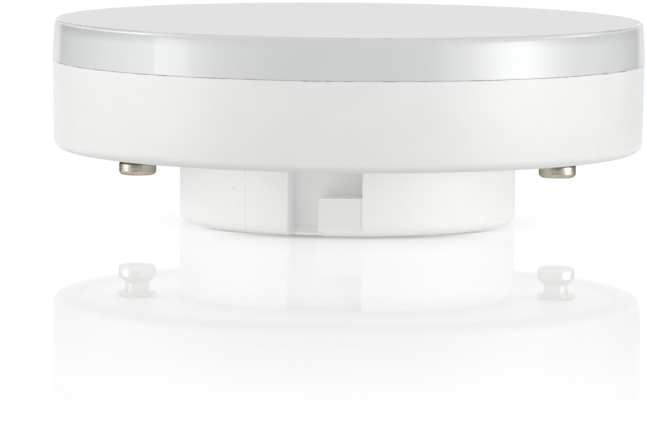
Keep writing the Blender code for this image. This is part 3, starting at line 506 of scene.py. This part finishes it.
def dress_table(tree, table, position, distance):
    """The table as the camera sees it: white, with the shadow at the boss's foot, under a coat of gloss."""
    place = math_node(tree, "DIVIDE", distance, CONTACT_SPAN * MM)
    shade = colour_ramp(tree, place, [(radius / CONTACT_SPAN, colour) for radius, colour in CONTACT_SHADE])
    forward = math_node(tree, "MULTIPLY", split(tree, position)["Y"], -1.0)
    front = math_node(tree, "DIVIDE", forward, distance)
    share = map_range(tree, front, *CONTACT_FRONT, CONTACT_SIDE_SHARE, 1.0, smooth=True)
    line = map_range(tree, distance, *CONTACT_LINE, 1.0, 0.0, smooth=True)
    line = product(tree, line, map_range(tree, front, *CONTACT_LINE_FRONT, smooth=True))
    share = math_node(tree, "MAXIMUM", share, line)
    tone = mix_colour(tree, share, (1, 1, 1, 1), shade)
    inner = map_range(tree, distance, *FLOOR_COAT_RISE, FLOOR_COAT_INNER / FLOOR_COAT, 1.0, smooth=True)
    coat = product(tree, map_range(tree, distance, *FLOOR_COAT_FADE, FLOOR_COAT, 0.0, smooth=True), inner)
    level = map_range(tree, coat, 0.0, FLOOR_COAT, FLOOR_WHITE, FLOOR_WHITE_MIRRORED)
    lit = FLOOR_COLOUR * FLOOR_LIT_SHARE
    table.inputs["Base Color"].default_value = (lit, lit, lit, 1)
    table.inputs["Specular IOR Level"].default_value = 0.0
    table.inputs["Roughness"].default_value = 1.0
    table.inputs["Coat IOR"].default_value = FLOOR_COAT_IOR
    table.inputs["Coat Roughness"].default_value = FLOOR_COAT_ROUGHNESS
    tree.links.new(tone, table.inputs["Emission Color"])
    tree.links.new(level, table.inputs["Emission Strength"])
    tree.links.new(coat, table.inputs["Coat Weight"])


def table_glow(tree, distance):
    """What the table gives back to the lamp, in rings round it."""
    close = map_range(tree, distance, *GLOW_CLOSE_FROM, GLOW_UNDER, GLOW_CLOSE, smooth=True)
    further = map_range(tree, distance, *GLOW_OUT_FROM, 0.0, GLOW_OUT - GLOW_CLOSE, smooth=True)
    foot = map_range(tree, distance, *GLOW_FOOT, 1.0, smooth=True)
    strength = product(tree, math_node(tree, "ADD", close, further), foot)
    return add_node(tree, "ShaderNodeEmission", {"Color": (1, 1, 1, 1), "Strength": strength}).outputs[0]



# Outlines


def arc(centre_x, centre_y, radius, start, end, steps=ARC_STEPS):
    """Points along an arc, from the start to the end angle in degrees."""
    angles = [math.radians(start + (end - start) * step / steps) for step in range(steps + 1)]
    return [(centre_x + radius * math.cos(a), centre_y + radius * math.sin(a)) for a in angles]


def rounded(corners, steps=ARC_STEPS):
    """Points of an open line through corners (x, y, radius), with an arc where the radius isn't 0."""
    points = [corners[0][:2]]
    for before, corner, after in zip(corners, corners[1:], corners[2:]):
        x, y, radius = corner
        if radius == 0:
            points.append((x, y))
            continue
        to_before = math.atan2(before[1] - y, before[0] - x)
        to_after = math.atan2(after[1] - y, after[0] - x)
        opening = (to_after - to_before + math.pi) % (2 * math.pi) - math.pi
        middle = to_before + opening / 2
        reach = radius / math.sin(abs(opening) / 2)
        half_sweep = math.copysign((math.pi - abs(opening)) / 2, opening)
        start = math.degrees(middle + math.pi + half_sweep)
        end = math.degrees(middle + math.pi - half_sweep)
        points += arc(x + reach * math.cos(middle), y + reach * math.sin(middle), radius, start, end, steps)
    points.append(corners[-1][:2])
    return points


def strip(left, right, near, far):
    """A box outline in front of the axis, seen from above, between two distances from it."""
    return [(left, -near), (left, -far), (right, -far), (right, -near)]


# Shapes


def object_from_bmesh(name, bm):
    mesh = bpy.data.meshes.new(name)
    bm.to_mesh(mesh)
    bm.free()
    mesh.shade_smooth()
    mesh.set_sharp_from_angle(angle=SMOOTH_ANGLE)
    return bpy.data.objects.new(name, mesh)


def turned(name, profile, segments=BODY_SEGMENTS, closed=False):
    """Turn a line of (radius, height) points about Z. It runs down the outer side."""
    bm = bmesh.new()
    rings = []
    turns = [2 * math.pi * index / segments for index in range(segments)]
    for radius, height in profile:
        if radius == 0:
            rings.append([bm.verts.new((0, 0, height))] * segments)
        else:
            places = [(radius * math.cos(turn), radius * math.sin(turn), height) for turn in turns]
            rings.append([bm.verts.new(place) for place in places])
    pairs = list(zip(rings, rings[1:]))
    if closed:
        pairs.append((rings[-1], rings[0]))
    for upper, lower in pairs:
        for index in range(segments):
            after = (index + 1) % segments
            corners = (upper[index], lower[index], lower[after], upper[after])
            bm.faces.new(dict.fromkeys(corners))
    return object_from_bmesh(name, bm)


def prism(name, outline, low, high):
    """A flat outline extruded from one height to another."""
    bm = bmesh.new()
    face = bm.faces.new([bm.verts.new((x, y, low)) for x, y in outline])
    grown = bmesh.ops.extrude_face_region(bm, geom=[face])["geom"]
    upper = [item for item in grown if isinstance(item, bmesh.types.BMVert)]
    bmesh.ops.translate(bm, verts=upper, vec=(0, 0, high - low))
    bmesh.ops.recalc_face_normals(bm, faces=bm.faces)
    return object_from_bmesh(name, bm)


def combine(target, tool, operation):
    """Join, cut or intersect the target with the tool, which is used up."""
    scene = bpy.context.scene.collection.objects
    for obj in (target, tool):
        if obj.name not in scene:
            scene.link(obj)
    modifier = target.modifiers.new("combine", "BOOLEAN")
    modifier.object = tool
    modifier.operation = operation
    modifier.solver = "EXACT"
    bpy.context.view_layer.update()
    mesh = bpy.data.meshes.new_from_object(target.evaluated_get(bpy.context.evaluated_depsgraph_get()))
    target.modifiers.clear()
    target.data = mesh
    bpy.data.objects.remove(tool, do_unlink=True)


def finished(obj, material, node):
    """Show a piece in place of its CAD node."""
    scene = bpy.context.scene.collection.objects
    if obj.name not in scene:
        scene.link(obj)
    mesh = obj.data
    mesh.shade_smooth()
    mesh.set_sharp_from_angle(angle=SMOOTH_ANGLE)
    mesh.materials.clear()
    mesh.materials.append(material)
    normals = obj.modifiers.new("normals", "WEIGHTED_NORMAL")
    normals.keep_sharp = True
    normals.weight = NORMAL_WEIGHT
    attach(obj, "root")
    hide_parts(node)


# Cover


def cover_side():
    """Points up the cover's side, from its foot to its top edge."""
    shares, leans = zip(*COVER_LEAN)
    rise = (COVER_TOP - COVER_FOOT) / COVER_SIDE_STEPS
    points = [(SEAM_RADIUS, COVER_FOOT)]
    for step in range(COVER_SIDE_STEPS):
        share = (step + 0.5) / COVER_SIDE_STEPS
        after = next(index for index in range(1, len(shares)) if share <= shares[index])
        along = (share - shares[after - 1]) / (shares[after] - shares[after - 1])
        lean = leans[after - 1] + along * (leans[after] - leans[after - 1])
        radius, height = points[-1]
        points.append((radius - rise * math.tan(math.radians(lean)), height + rise))
    return points


def make_cover(material):
    """The opal cover. Its side leans in more towards the top, and its top edge is rounded."""
    inner_wall = COVER_TOP_RADIUS - COVER_WALL
    skirt_inner = SKIRT_RADIUS - SKIRT_WALL
    shoulder = COVER_FOOT + COVER_WALL
    ceiling = COVER_TOP - COVER_WALL
    side = cover_side()[::-1]
    below_edge = [point for point in side if point[1] < COVER_TOP - 1.5 * COVER_EDGE_FILLET]
    edge = rounded([(0, COVER_TOP, 0), (*side[0], COVER_EDGE_FILLET), (*below_edge[0], 0)])
    inside = [
        (SKIRT_RADIUS, COVER_FOOT),
        (SKIRT_RADIUS, SKIRT_END),
        (skirt_inner, SKIRT_END),
        (skirt_inner, shoulder),
        (inner_wall, shoulder),
        (inner_wall, ceiling),
        (0, ceiling),
    ]
    outline = [*edge, *below_edge[1:], *inside]
    finished(turned("opal_cover", outline), material, "diffuser")


# Housing


def housing_section():
    recess_outer = FOOT_RADIUS - FLANGE_RIM_WIDTH
    corners = [
        (0, BOSS_FLOOR, 0),
        (BOSS_INNER_RADIUS, BOSS_FLOOR, 0),
        (BOSS_INNER_RADIUS, FLANGE_FLOOR, 0),
        (INNER_RADIUS, FLANGE_FLOOR, 0),
        (INNER_RADIUS, SEAM_HEIGHT, 0),
        (SEAM_RADIUS, SEAM_HEIGHT, RIM_FILLET),
        (FOOT_RADIUS, FLANGE_HEIGHT, FOOT_FILLET),
        (recess_outer, FLANGE_HEIGHT, RECESS_FILLET),
        (recess_outer, FLANGE_CEILING, RECESS_FILLET),
        (BOSS_RADIUS, FLANGE_CEILING, BOSS_ROOT_FILLET),
        (BOSS_RADIUS, 0, BOSS_FILLET),
        (FLOOR_DISH_RADIUS, 0, RECESS_FILLET),
        (FLOOR_DISH_RADIUS - FLOOR_DISH_DEPTH, FLOOR_DISH_DEPTH, RECESS_FILLET),
        (0, FLOOR_DISH_DEPTH, 0),
    ]
    return rounded(corners)


def boss_surface(across):
    return math.sqrt(BOSS_RADIUS**2 - across**2)


def upright_round(name, edge, side, fillet, top):
    """Rounds an upright edge of the slot. The material lies on the given side of it, -1 left or 1 right."""
    surface = boss_surface(edge)
    centre_x = edge + side * (fillet - BITE)
    centre_y = fillet - surface
    start = 180 if side > 0 else 0
    end = 270 if side > 0 else -90
    curve = arc(centre_x, centre_y, fillet, start, end)
    inside = edge - side * fillet
    outside = -(surface + PAST)
    return prism(name, [*curve, (centre_x, outside), (inside, outside), (inside, centre_y)], -PAST, top)


def corner_round(name, height, side, fillet):
    """Rounds a corner of the stop beside the entry, seen along the slide: side -1 its foot, 1 its top."""
    centre_x = CHANNEL_RIGHT + fillet - BITE
    centre_z = height - side * (fillet - BITE)
    curve = arc(centre_x, centre_z, fillet, 180, 180 - side * 90)
    left = CHANNEL_RIGHT - fillet
    outside = height + side * PAST
    outline = [*curve, (centre_x, outside), (left, outside), (left, centre_z)]
    solid = prism(name, outline, SLOT_BACK_RADIUS / 2, BOSS_RADIUS + PAST)
    solid.data.transform(Matrix.Rotation(math.radians(90), 4, "X"))
    return solid


def slot_cutter():
    """The whole slot, seen along the slide: an upright entry channel and a level leg under the flange."""
    near = SLOT_BACK_RADIUS / 2
    far = BOSS_RADIUS + 2 * PAST
    top = FLANGE_HEIGHT + PAST
    slot = prism("slot", strip(CHANNEL_LEFT, CHANNEL_RIGHT, near, far), -2 * PAST, top)
    for solid in (
        prism("leg", strip(CHANNEL_OFFSET, SLIDE_HALF_WIDTH, near, far), STOP_HEIGHT, top),
        upright_round("entry_edge", CHANNEL_LEFT, -1, ENTRY_EDGE_FILLET, FLANGE_HEIGHT + 2 * PAST),
        upright_round("stop_edge", CHANNEL_RIGHT, 1, STOP_EDGE_FILLET, STOP_HEIGHT + PAST),
        corner_round("stop_foot", 0, -1, STOP_CORNER_FILLET),
        corner_round("stop_top", STOP_HEIGHT, 1, STOP_EDGE_FILLET),
    ):
        combine(slot, solid, "UNION")
    outside = BOSS_RADIUS + PAST
    foot_centre = SLOT_BACK_RADIUS - SLOT_FOOT_FILLET
    foot = arc(foot_centre, SLOT_FOOT_FILLET - BITE, SLOT_FOOT_FILLET, -90, 0)
    back_top = (SLOT_BACK_RADIUS, FLANGE_HEIGHT)
    profile = [(outside, FLANGE_HEIGHT), (outside, -PAST), (foot_centre, -PAST), *foot, back_top]
    combine(slot, turned("slot_ring", profile, closed=True), "INTERSECT")
    return slot


def stop_face_cutter():
    """The thin step by which the slide leaves the stop's face behind the boss's surface."""
    outside = BOSS_RADIUS + PAST
    top = STOP_HEIGHT + PAST
    foot_centre = BOSS_RADIUS - STOP_FACE_STEP - BOSS_FILLET
    foot = arc(foot_centre, BOSS_FILLET - BITE, BOSS_FILLET, -90, 0)
    face = (BOSS_RADIUS - STOP_FACE_STEP, top)
    profile = [(outside, top), (outside, -PAST), (foot_centre, -PAST), *foot, face]
    ring = turned("stop_ring", profile, closed=True)
    outline = strip(CHANNEL_RIGHT - PAST, SLIDE_HALF_WIDTH - BITE, BOSS_RADIUS / 2, BOSS_RADIUS + 2 * PAST)
    combine(ring, prism("limit", outline, -2 * PAST, top + PAST), "INTERSECT")
    return ring


def pocket_wall():
    """The wall that closes a slot off from the inside of the boss."""
    wall_middle = BOSS_INNER_RADIUS + BOSS_WALL / 2
    top = FLANGE_HEIGHT + POCKET_WALL
    bottom = BOSS_FLOOR / 2
    profile = [(wall_middle, top), (wall_middle, bottom), (POCKET_RADIUS, bottom), (POCKET_RADIUS, top)]
    ring = turned("pocket", profile, closed=True)
    left = CHANNEL_LEFT - POCKET_WALL
    right = SLIDE_HALF_WIDTH + POCKET_WALL
    outline = strip(left, right, POCKET_RADIUS / 2, BOSS_RADIUS)
    combine(ring, prism("limit", outline, 0, top + PAST), "INTERSECT")
    return ring


def make_housing(material):
    """The moulded housing with its boss and two twist slots."""
    housing = turned("lamp_housing", housing_section())
    steps = ((pocket_wall, "UNION"), (slot_cutter, "DIFFERENCE"), (stop_face_cutter, "DIFFERENCE"))
    for make_solid, action in steps:
        solid = make_solid()
        for turn in (0, math.pi):
            copy = bpy.data.objects.new("copy", solid.data)
            copy.matrix_world = Matrix.Rotation(SLIDE_ANGLE + turn, 4, "Z")
            combine(housing, copy, action)
        bpy.data.objects.remove(solid, do_unlink=True)
    hole_radius = PIN_NECK_RADIUS + FIT_GAP
    top = FLANGE_FLOOR + PAST
    bottom = FLANGE_CEILING - PAST
    for side in (-1, 1):
        profile = [(0, top), (hole_radius, top), (hole_radius, bottom), (0, bottom)]
        hole = turned("hole", profile, HOLE_SEGMENTS)
        hole.data.transform(Matrix.Translation((side * PIN_SPACING / 2, 0, 0)))
        combine(housing, hole, "DIFFERENCE")
    finished(housing, material, "housing")


# Pins


def make_pins(material):
    shoulder_bottom = PIN_SHOULDER_TOP - PIN_SHOULDER_THICKNESS
    head_back = PIN_END_HEIGHT + PIN_HEAD_LENGTH
    top = FLANGE_FLOOR + FIT_GAP
    corners = [
        (0, top, 0),
        (PIN_NECK_RADIUS, top, 0),
        (PIN_NECK_RADIUS, PIN_SHOULDER_TOP, 0),
        (PIN_SHOULDER_RADIUS, PIN_SHOULDER_TOP, 0),
        (PIN_SHOULDER_RADIUS, shoulder_bottom, 0),
        (PIN_NECK_RADIUS, shoulder_bottom, 0),
        (PIN_NECK_RADIUS, head_back + PIN_CONE_LENGTH, PIN_NECK_FILLET),
        (PIN_HEAD_RADIUS, head_back, PIN_BACK_FILLET),
        (PIN_HEAD_RADIUS, PIN_END_HEIGHT, PIN_EDGE_FILLET),
        (0, PIN_END_HEIGHT, 0),
    ]
    for name, node, side in (("pin_left", "contact_pin_left", -1), ("pin_right", "contact_pin_right", 1)):
        pin = turned(name, rounded(corners), PIN_SEGMENTS)
        pin.data.transform(Matrix.Translation((side * PIN_SPACING / 2, 0, 0)))
        finished(pin, material, node)


# Finishes


def band(tree, value, low, high, soft):
    """1 between two values and 0 outside, with soft edges."""
    rise = map_range(tree, value, low - soft, low + soft, smooth=True)
    fall = map_range(tree, value, high - soft, high + soft, 1.0, 0.0, smooth=True)
    return product(tree, rise, fall)


def azimuth_share(tree, parts, stops):
    """A value all round the axis, from a list of (azimuth in degrees from the camera's side, value)."""
    turn = math_node(tree, "MULTIPLY_ADD", azimuth_of(tree, parts), 0.5 / math.pi, 0.5)
    return colour_ramp(tree, turn, [(degrees / 360 + 0.5, (value,) * 3) for degrees, value in stops])


def speck_mask(tree, position, places):
    """1 within small round spots, from a list of (x, y, z, radius) in millimetres."""
    mask = 0.0
    for x, y, z, radius in places:
        reach = vector_value(tree, "DISTANCE", position, (x * MM, y * MM, z * MM))
        spot = map_range(tree, reach, 0.6 * radius * MM, radius * MM, 1.0, 0.0, smooth=True)
        mask = math_node(tree, "MAXIMUM", mask, spot)
    return mask


def opal_finish():
    """Opal plastic, glossy, with a painted light line and a painted dark line along stretches of its top
    edge, a band of painted shade below it, a faint painted glow all over and a few specks of dirt.
    """
    material, tree, shader = new_material("opal_cover")
    position = object_position(tree)
    parts = split(tree, position)
    colour = mix_colour(tree, 1.0, OPAL_COLOUR, varied(tree, position, 9 * MM, *OPAL_DRIFT), "MULTIPLY")
    # Painted shade: a band under the top edge is darker at some azimuths
    below_top = math_node(tree, "SUBTRACT", COVER_TOP, parts["Z"])
    shade = map_range(tree, below_top, *EDGE_SHADE_DEPTH, 1.0, 0.0, smooth=True)
    on_side = math_node(tree, "GREATER_THAN", below_top, EDGE_SHADE_DEPTH[0])
    shade = product(tree, shade, on_side, azimuth_share(tree, parts, EDGE_SHADE))
    shade = map_range(tree, shade, 0.0, 1.0, 1.0, EDGE_SHADE_LEVEL)
    colour = mix_colour(tree, 1.0, colour, shade, "MULTIPLY")
    # A dark line of painted shade and a light line of painted highlight along the top edge, joined with the
    # specks of dirt
    dark_line = band(tree, below_top, *EDGE_DARK_DEPTH, EDGE_DARK_SOFT)
    light_line = band(tree, below_top, *EDGE_LIGHT_DEPTH, EDGE_LIGHT_SOFT)
    light = product(tree, light_line, azimuth_share(tree, parts, EDGE_LIGHT))
    uneven = map_range(tree, noise(tree, position, 0.5 * MM), 0.35, 0.6, 0.7, 1.0)
    dark = product(tree, dark_line, azimuth_share(tree, parts, EDGE_DARK), uneven)
    dark_marks = math_node(tree, "MAXIMUM", dark, speck_mask(tree, position, COVER_SPECKS))
    tree.links.new(mix_colour(tree, dark_marks, colour, OPAL_SHADE_AND_DIRT_COLOUR), shader.inputs["Base Color"])
    shader.inputs["Roughness"].default_value = OPAL_ROUGHNESS
    shader.inputs["IOR"].default_value = PLASTIC_IOR
    shader.inputs["Emission Color"].default_value = OPAL_GLOW_COLOUR
    # Painted light: the faint glow all over, and the light line's painted highlight
    glow = math_node(tree, "MULTIPLY_ADD", light, EDGE_LIGHT_GLOW, OPAL_GLOW)
    unmarked = math_node(tree, "SUBTRACT", 1.0, dark_marks)
    tree.links.new(product(tree, glow, shade, unmarked), shader.inputs["Emission Strength"])
    set_bump(tree, shader, noise(tree, position, 6 * MM, 1.0), 0.02, 0.2 * MM)
    return material


def housing_finish():
    """White moulded plastic, satin, with the faint lines where the mould's slides met and a few specks;
    painted shade on the slot's wall, the stop's face and the feet, and painted light on the boss and in the
    slots.
    """
    material, tree, shader = new_material("white_housing")
    position = object_position(tree)
    height = split(tree, position)["Z"]
    turned_back = {"Vector": position, "Angle": -SLIDE_ANGLE}
    slide = add_node(tree, "ShaderNodeVectorRotate", turned_back, rotation_type="Z_AXIS").outputs[0]
    slide_parts = split(tree, slide)
    side = math_node(tree, "SIGN", math_node(tree, "MULTIPLY", slide_parts["Y"], -1.0))
    across = product(tree, slide_parts["X"], side)
    depth = math_node(tree, "ABSOLUTE", slide_parts["Y"])
    in_boss = math_node(tree, "LESS_THAN", depth, BOSS_RADIUS + EDGE_ROOM)
    under_flange = math_node(tree, "LESS_THAN", height, FLANGE_CEILING - EDGE_ROOM)
    boss = product(tree, in_boss, under_flange)

    # Colour, with painted shade on the slot's wall and the stop's face, and painted light on the boss
    drift = varied(tree, position, 5 * MM, *HOUSING_DRIFT)
    colour = mix_colour(tree, 1.0, HOUSING_COLOUR, drift, "MULTIPLY")
    # Painted shade on the slot's entry wall
    in_slot = math_node(tree, "LESS_THAN", depth, BOSS_RADIUS - ENTRY_EDGE_FILLET)
    wall = band(tree, across, CHANNEL_LEFT - EDGE_ROOM, CHANNEL_LEFT + 0.03 * MM, 0.01 * MM)
    wall = product(tree, wall, in_slot, under_flange)
    colour = mix_colour(tree, wall, colour, SLOT_WALL_SHADE_COLOUR)
    # Painted shade on the stop's face
    face = band(tree, across, CHANNEL_RIGHT + 0.05 * MM, SLIDE_HALF_WIDTH, 0.03 * MM)
    proud = math_node(tree, "GREATER_THAN", depth, SLOT_BACK_RADIUS + 0.5 * MM)
    low = math_node(tree, "LESS_THAN", height, STOP_HEIGHT - 0.15 * MM)
    colour = mix_colour(tree, product(tree, face, proud, low, in_boss), colour, STOP_FACE_SHADE_COLOUR)
    # Painted light: the boss is a little lighter
    colour = mix_colour(tree, 1.0, colour, map_range(tree, boss, 0.0, 1.0, 1.0, BOSS_PAINTED_LIGHT), "MULTIPLY")

    # Painted shade: the rim's foot and the boss's foot are darker, and duller
    rim_shade = (FLANGE_HEIGHT + EDGE_ROOM, FLANGE_HEIGHT + RIM_SHADE_HEIGHT)
    rim_foot = map_range(tree, height, *rim_shade, 1.0, 0.0, smooth=True)
    above_rim = math_node(tree, "GREATER_THAN", height, FLANGE_HEIGHT - EDGE_ROOM)
    rim_foot = product(tree, rim_foot, above_rim)
    foot = map_range(tree, height, *BOSS_FOOT_SHADE, 1.0, 0.0, smooth=True)
    colour = mix_colour(tree, rim_foot, colour, RIM_FOOT_SHADE_COLOUR)
    colour = mix_colour(tree, foot, colour, BOSS_FOOT_SHADE_COLOUR)
    either = math_node(tree, "MAXIMUM", foot, rim_foot)
    dulled = map_range(tree, either, 0.0, 1.0, SPECULAR_LEVEL, FOOT_SPECULAR_LEVEL)
    tree.links.new(dulled, shader.inputs["Specular IOR Level"])

    # The slide's line on the boss, the dirt along the seam and the specks
    line_sides = (-SLIDE_HALF_WIDTH - SLIDE_LINE_HALF_WIDTH, -SLIDE_HALF_WIDTH + SLIDE_LINE_HALF_WIDTH)
    line = band(tree, across, *line_sides, 0.03 * MM)
    broken = map_range(tree, noise(tree, position, 1.2 * MM), 0.35, 0.65, 0.25, 1.0)
    line = product(tree, line, in_boss, under_flange, broken)
    colour = mix_colour(tree, line, colour, SLIDE_LINE_COLOUR)
    begins, whole = SEAM_DIRT_DEPTH
    rim = map_range(tree, height, SEAM_HEIGHT - begins, SEAM_HEIGHT - whole, smooth=True)
    gaps = map_range(tree, noise(tree, position, 2.5 * MM, 4.0), 0.48, 0.66, 0.0, 0.8)
    specks = speck_mask(tree, position, HOUSING_SPECKS)
    dark_marks = math_node(tree, "MAXIMUM", product(tree, rim, gaps), specks)
    tree.links.new(mix_colour(tree, dark_marks, colour, SEAM_DIRT_COLOUR), shader.inputs["Base Color"])

    # Painted light: a faint glow deep inside the slots
    flat = add_node(tree, "ShaderNodeCombineXYZ", {0: slide_parts["X"], 1: slide_parts["Y"]}).outputs[0]
    reach = vector_value(tree, "LENGTH", flat)
    deep = map_range(tree, reach, BOSS_RADIUS - 0.9 * MM, BOSS_RADIUS - 0.4 * MM, 1.0, 0.0, smooth=True)
    cut = band(tree, across, CHANNEL_LEFT - EDGE_ROOM, SLIDE_HALF_WIDTH + EDGE_ROOM, 0.03 * MM)
    above_foot = math_node(tree, "GREATER_THAN", height, 0.15 * MM)
    glow = product(tree, deep, cut, above_foot, under_flange, SLOT_PAINTED_GLOW)
    shader.inputs["Emission Color"].default_value = SLOT_TINT
    tree.links.new(glow, shader.inputs["Emission Strength"])

    shader.inputs["IOR"].default_value = PLASTIC_IOR
    tree.links.new(varied(tree, position, 2 * MM, *HOUSING_ROUGHNESS), shader.inputs["Roughness"])
    set_bump(tree, shader, noise(tree, position, 0.12 * MM, 2.0), 0.1, 0.01 * MM)
    return material


def pin_finish():
    """Nickel plating, a little warm, with fine turning marks round the pin, dents and a band of painted
    shade round the head's back edge.
    """
    material, tree, shader = new_material("nickel_pin")
    position = object_position(tree)
    drift = varied(tree, position, 0.8 * MM, *PIN_DRIFT)
    colour = mix_colour(tree, 1.0, PIN_COLOUR, drift, "MULTIPLY")
    height = split(tree, position)["Z"]
    # Painted shade: a dark band round the head's back edge
    edge = PIN_END_HEIGHT + PIN_HEAD_LENGTH
    starts = map_range(tree, height, edge - 0.16 * MM, edge - 0.02 * MM, smooth=True)
    ends = map_range(tree, height, edge + 0.20 * MM, edge + 0.45 * MM, 0.8, 0.15, smooth=True)
    colour = mix_colour(tree, product(tree, starts, ends), colour, PIN_BAND_SHADE)
    tree.links.new(colour, shader.inputs["Base Color"])
    shader.inputs["Metallic"].default_value = 1.0
    shader.inputs["Specular Tint"].default_value = PIN_EDGE_TINT
    tree.links.new(varied(tree, position, 0.4 * MM, *PIN_ROUGHNESS), shader.inputs["Roughness"])
    turns = {"W": math_node(tree, "MULTIPLY", height, PIN_TURNING)}
    rings = add_node(tree, "ShaderNodeTexNoise", turns, noise_dimensions="1D")
    dents = noise(tree, position, 0.5 * MM, 4.0)
    relief = math_node(tree, "MULTIPLY_ADD", dents, 1.5, rings.outputs["Fac"])
    set_bump(tree, shader, relief, 0.35, 0.02 * MM)
    return material


# The sealed inner pieces: colour, roughness, metallic, grain size in mm, colour drift
INNER_FINISHES = {
    "aluminium_sheet": ((0.74, 0.75, 0.76), 0.35, 1.0, 0.5, 0.04),
    "insulating_film": ((0.80, 0.78, 0.68), 0.45, 0.0, 3.0, 0.03),
    "led_board_white": ((0.90, 0.90, 0.88), 0.40, 0.0, 2.0, 0.02),
    "led_package": ((0.93, 0.82, 0.42), 0.35, 0.0, 0.4, 0.05),
    "screw_steel": ((0.66, 0.66, 0.67), 0.30, 1.0, 0.3, 0.05),
    "driver_board_green": ((0.10, 0.32, 0.16), 0.45, 0.0, 1.0, 0.08),
    "capacitor_sleeve": ((0.06, 0.07, 0.10), 0.35, 0.0, 1.0, 0.05),
    "film_capacitor_red": ((0.55, 0.12, 0.07), 0.35, 0.0, 0.8, 0.08),
    "ferrite": ((0.10, 0.10, 0.11), 0.60, 0.0, 0.3, 0.15),
    "winding_tape": ((0.85, 0.68, 0.18), 0.40, 0.0, 1.0, 0.05),
    "component_black": ((0.04, 0.04, 0.05), 0.40, 0.0, 0.2, 0.15),
    "resistor_body": ((0.30, 0.46, 0.52), 0.45, 0.0, 0.3, 0.08),
    "wire_red": ((0.60, 0.06, 0.05), 0.45, 0.0, 0.6, 0.05),
    "wire_black": ((0.03, 0.03, 0.03), 0.45, 0.0, 0.6, 0.10),
}


def inner_finish(name):
    colour, roughness, metallic, grain, drift = INNER_FINISHES[name]
    material, tree, shader = new_material(name)
    position = object_position(tree)
    grains = noise(tree, position, grain * MM)
    shade = map_range(tree, grains, *NOISE_RANGE, 1 - drift, 1 + drift)
    tree.links.new(mix_colour(tree, 1.0, (*colour, 1), shade, "MULTIPLY"), shader.inputs["Base Color"])
    shader.inputs["Metallic"].default_value = metallic
    rough_range = (roughness - INNER_ROUGHNESS_DRIFT, roughness + INNER_ROUGHNESS_DRIFT)
    rough = map_range(tree, grains, *NOISE_RANGE, *rough_range)
    tree.links.new(rough, shader.inputs["Roughness"])
    set_bump(tree, shader, grains, INNER_GRAIN_STRENGTH, INNER_GRAIN_DEPTH)
    return material


def finish_inner_nodes():
    finishes = {name: inner_finish(name) for name in INNER_FINISHES}
    for part in frame["record"]["subparts"]:
        if part["material_slot"] in finishes:
            mesh_object = frame["nodes"][part["node"]]
            for material_slot in mesh_object.material_slots:
                material_slot.material = finishes[part["material_slot"]]


bpy.context.scene.view_settings.view_transform = "Standard"
make_camera()
make_world()
make_floor()
make_cover(opal_finish())
make_housing(housing_finish())
make_pins(pin_finish())
finish_inner_nodes()
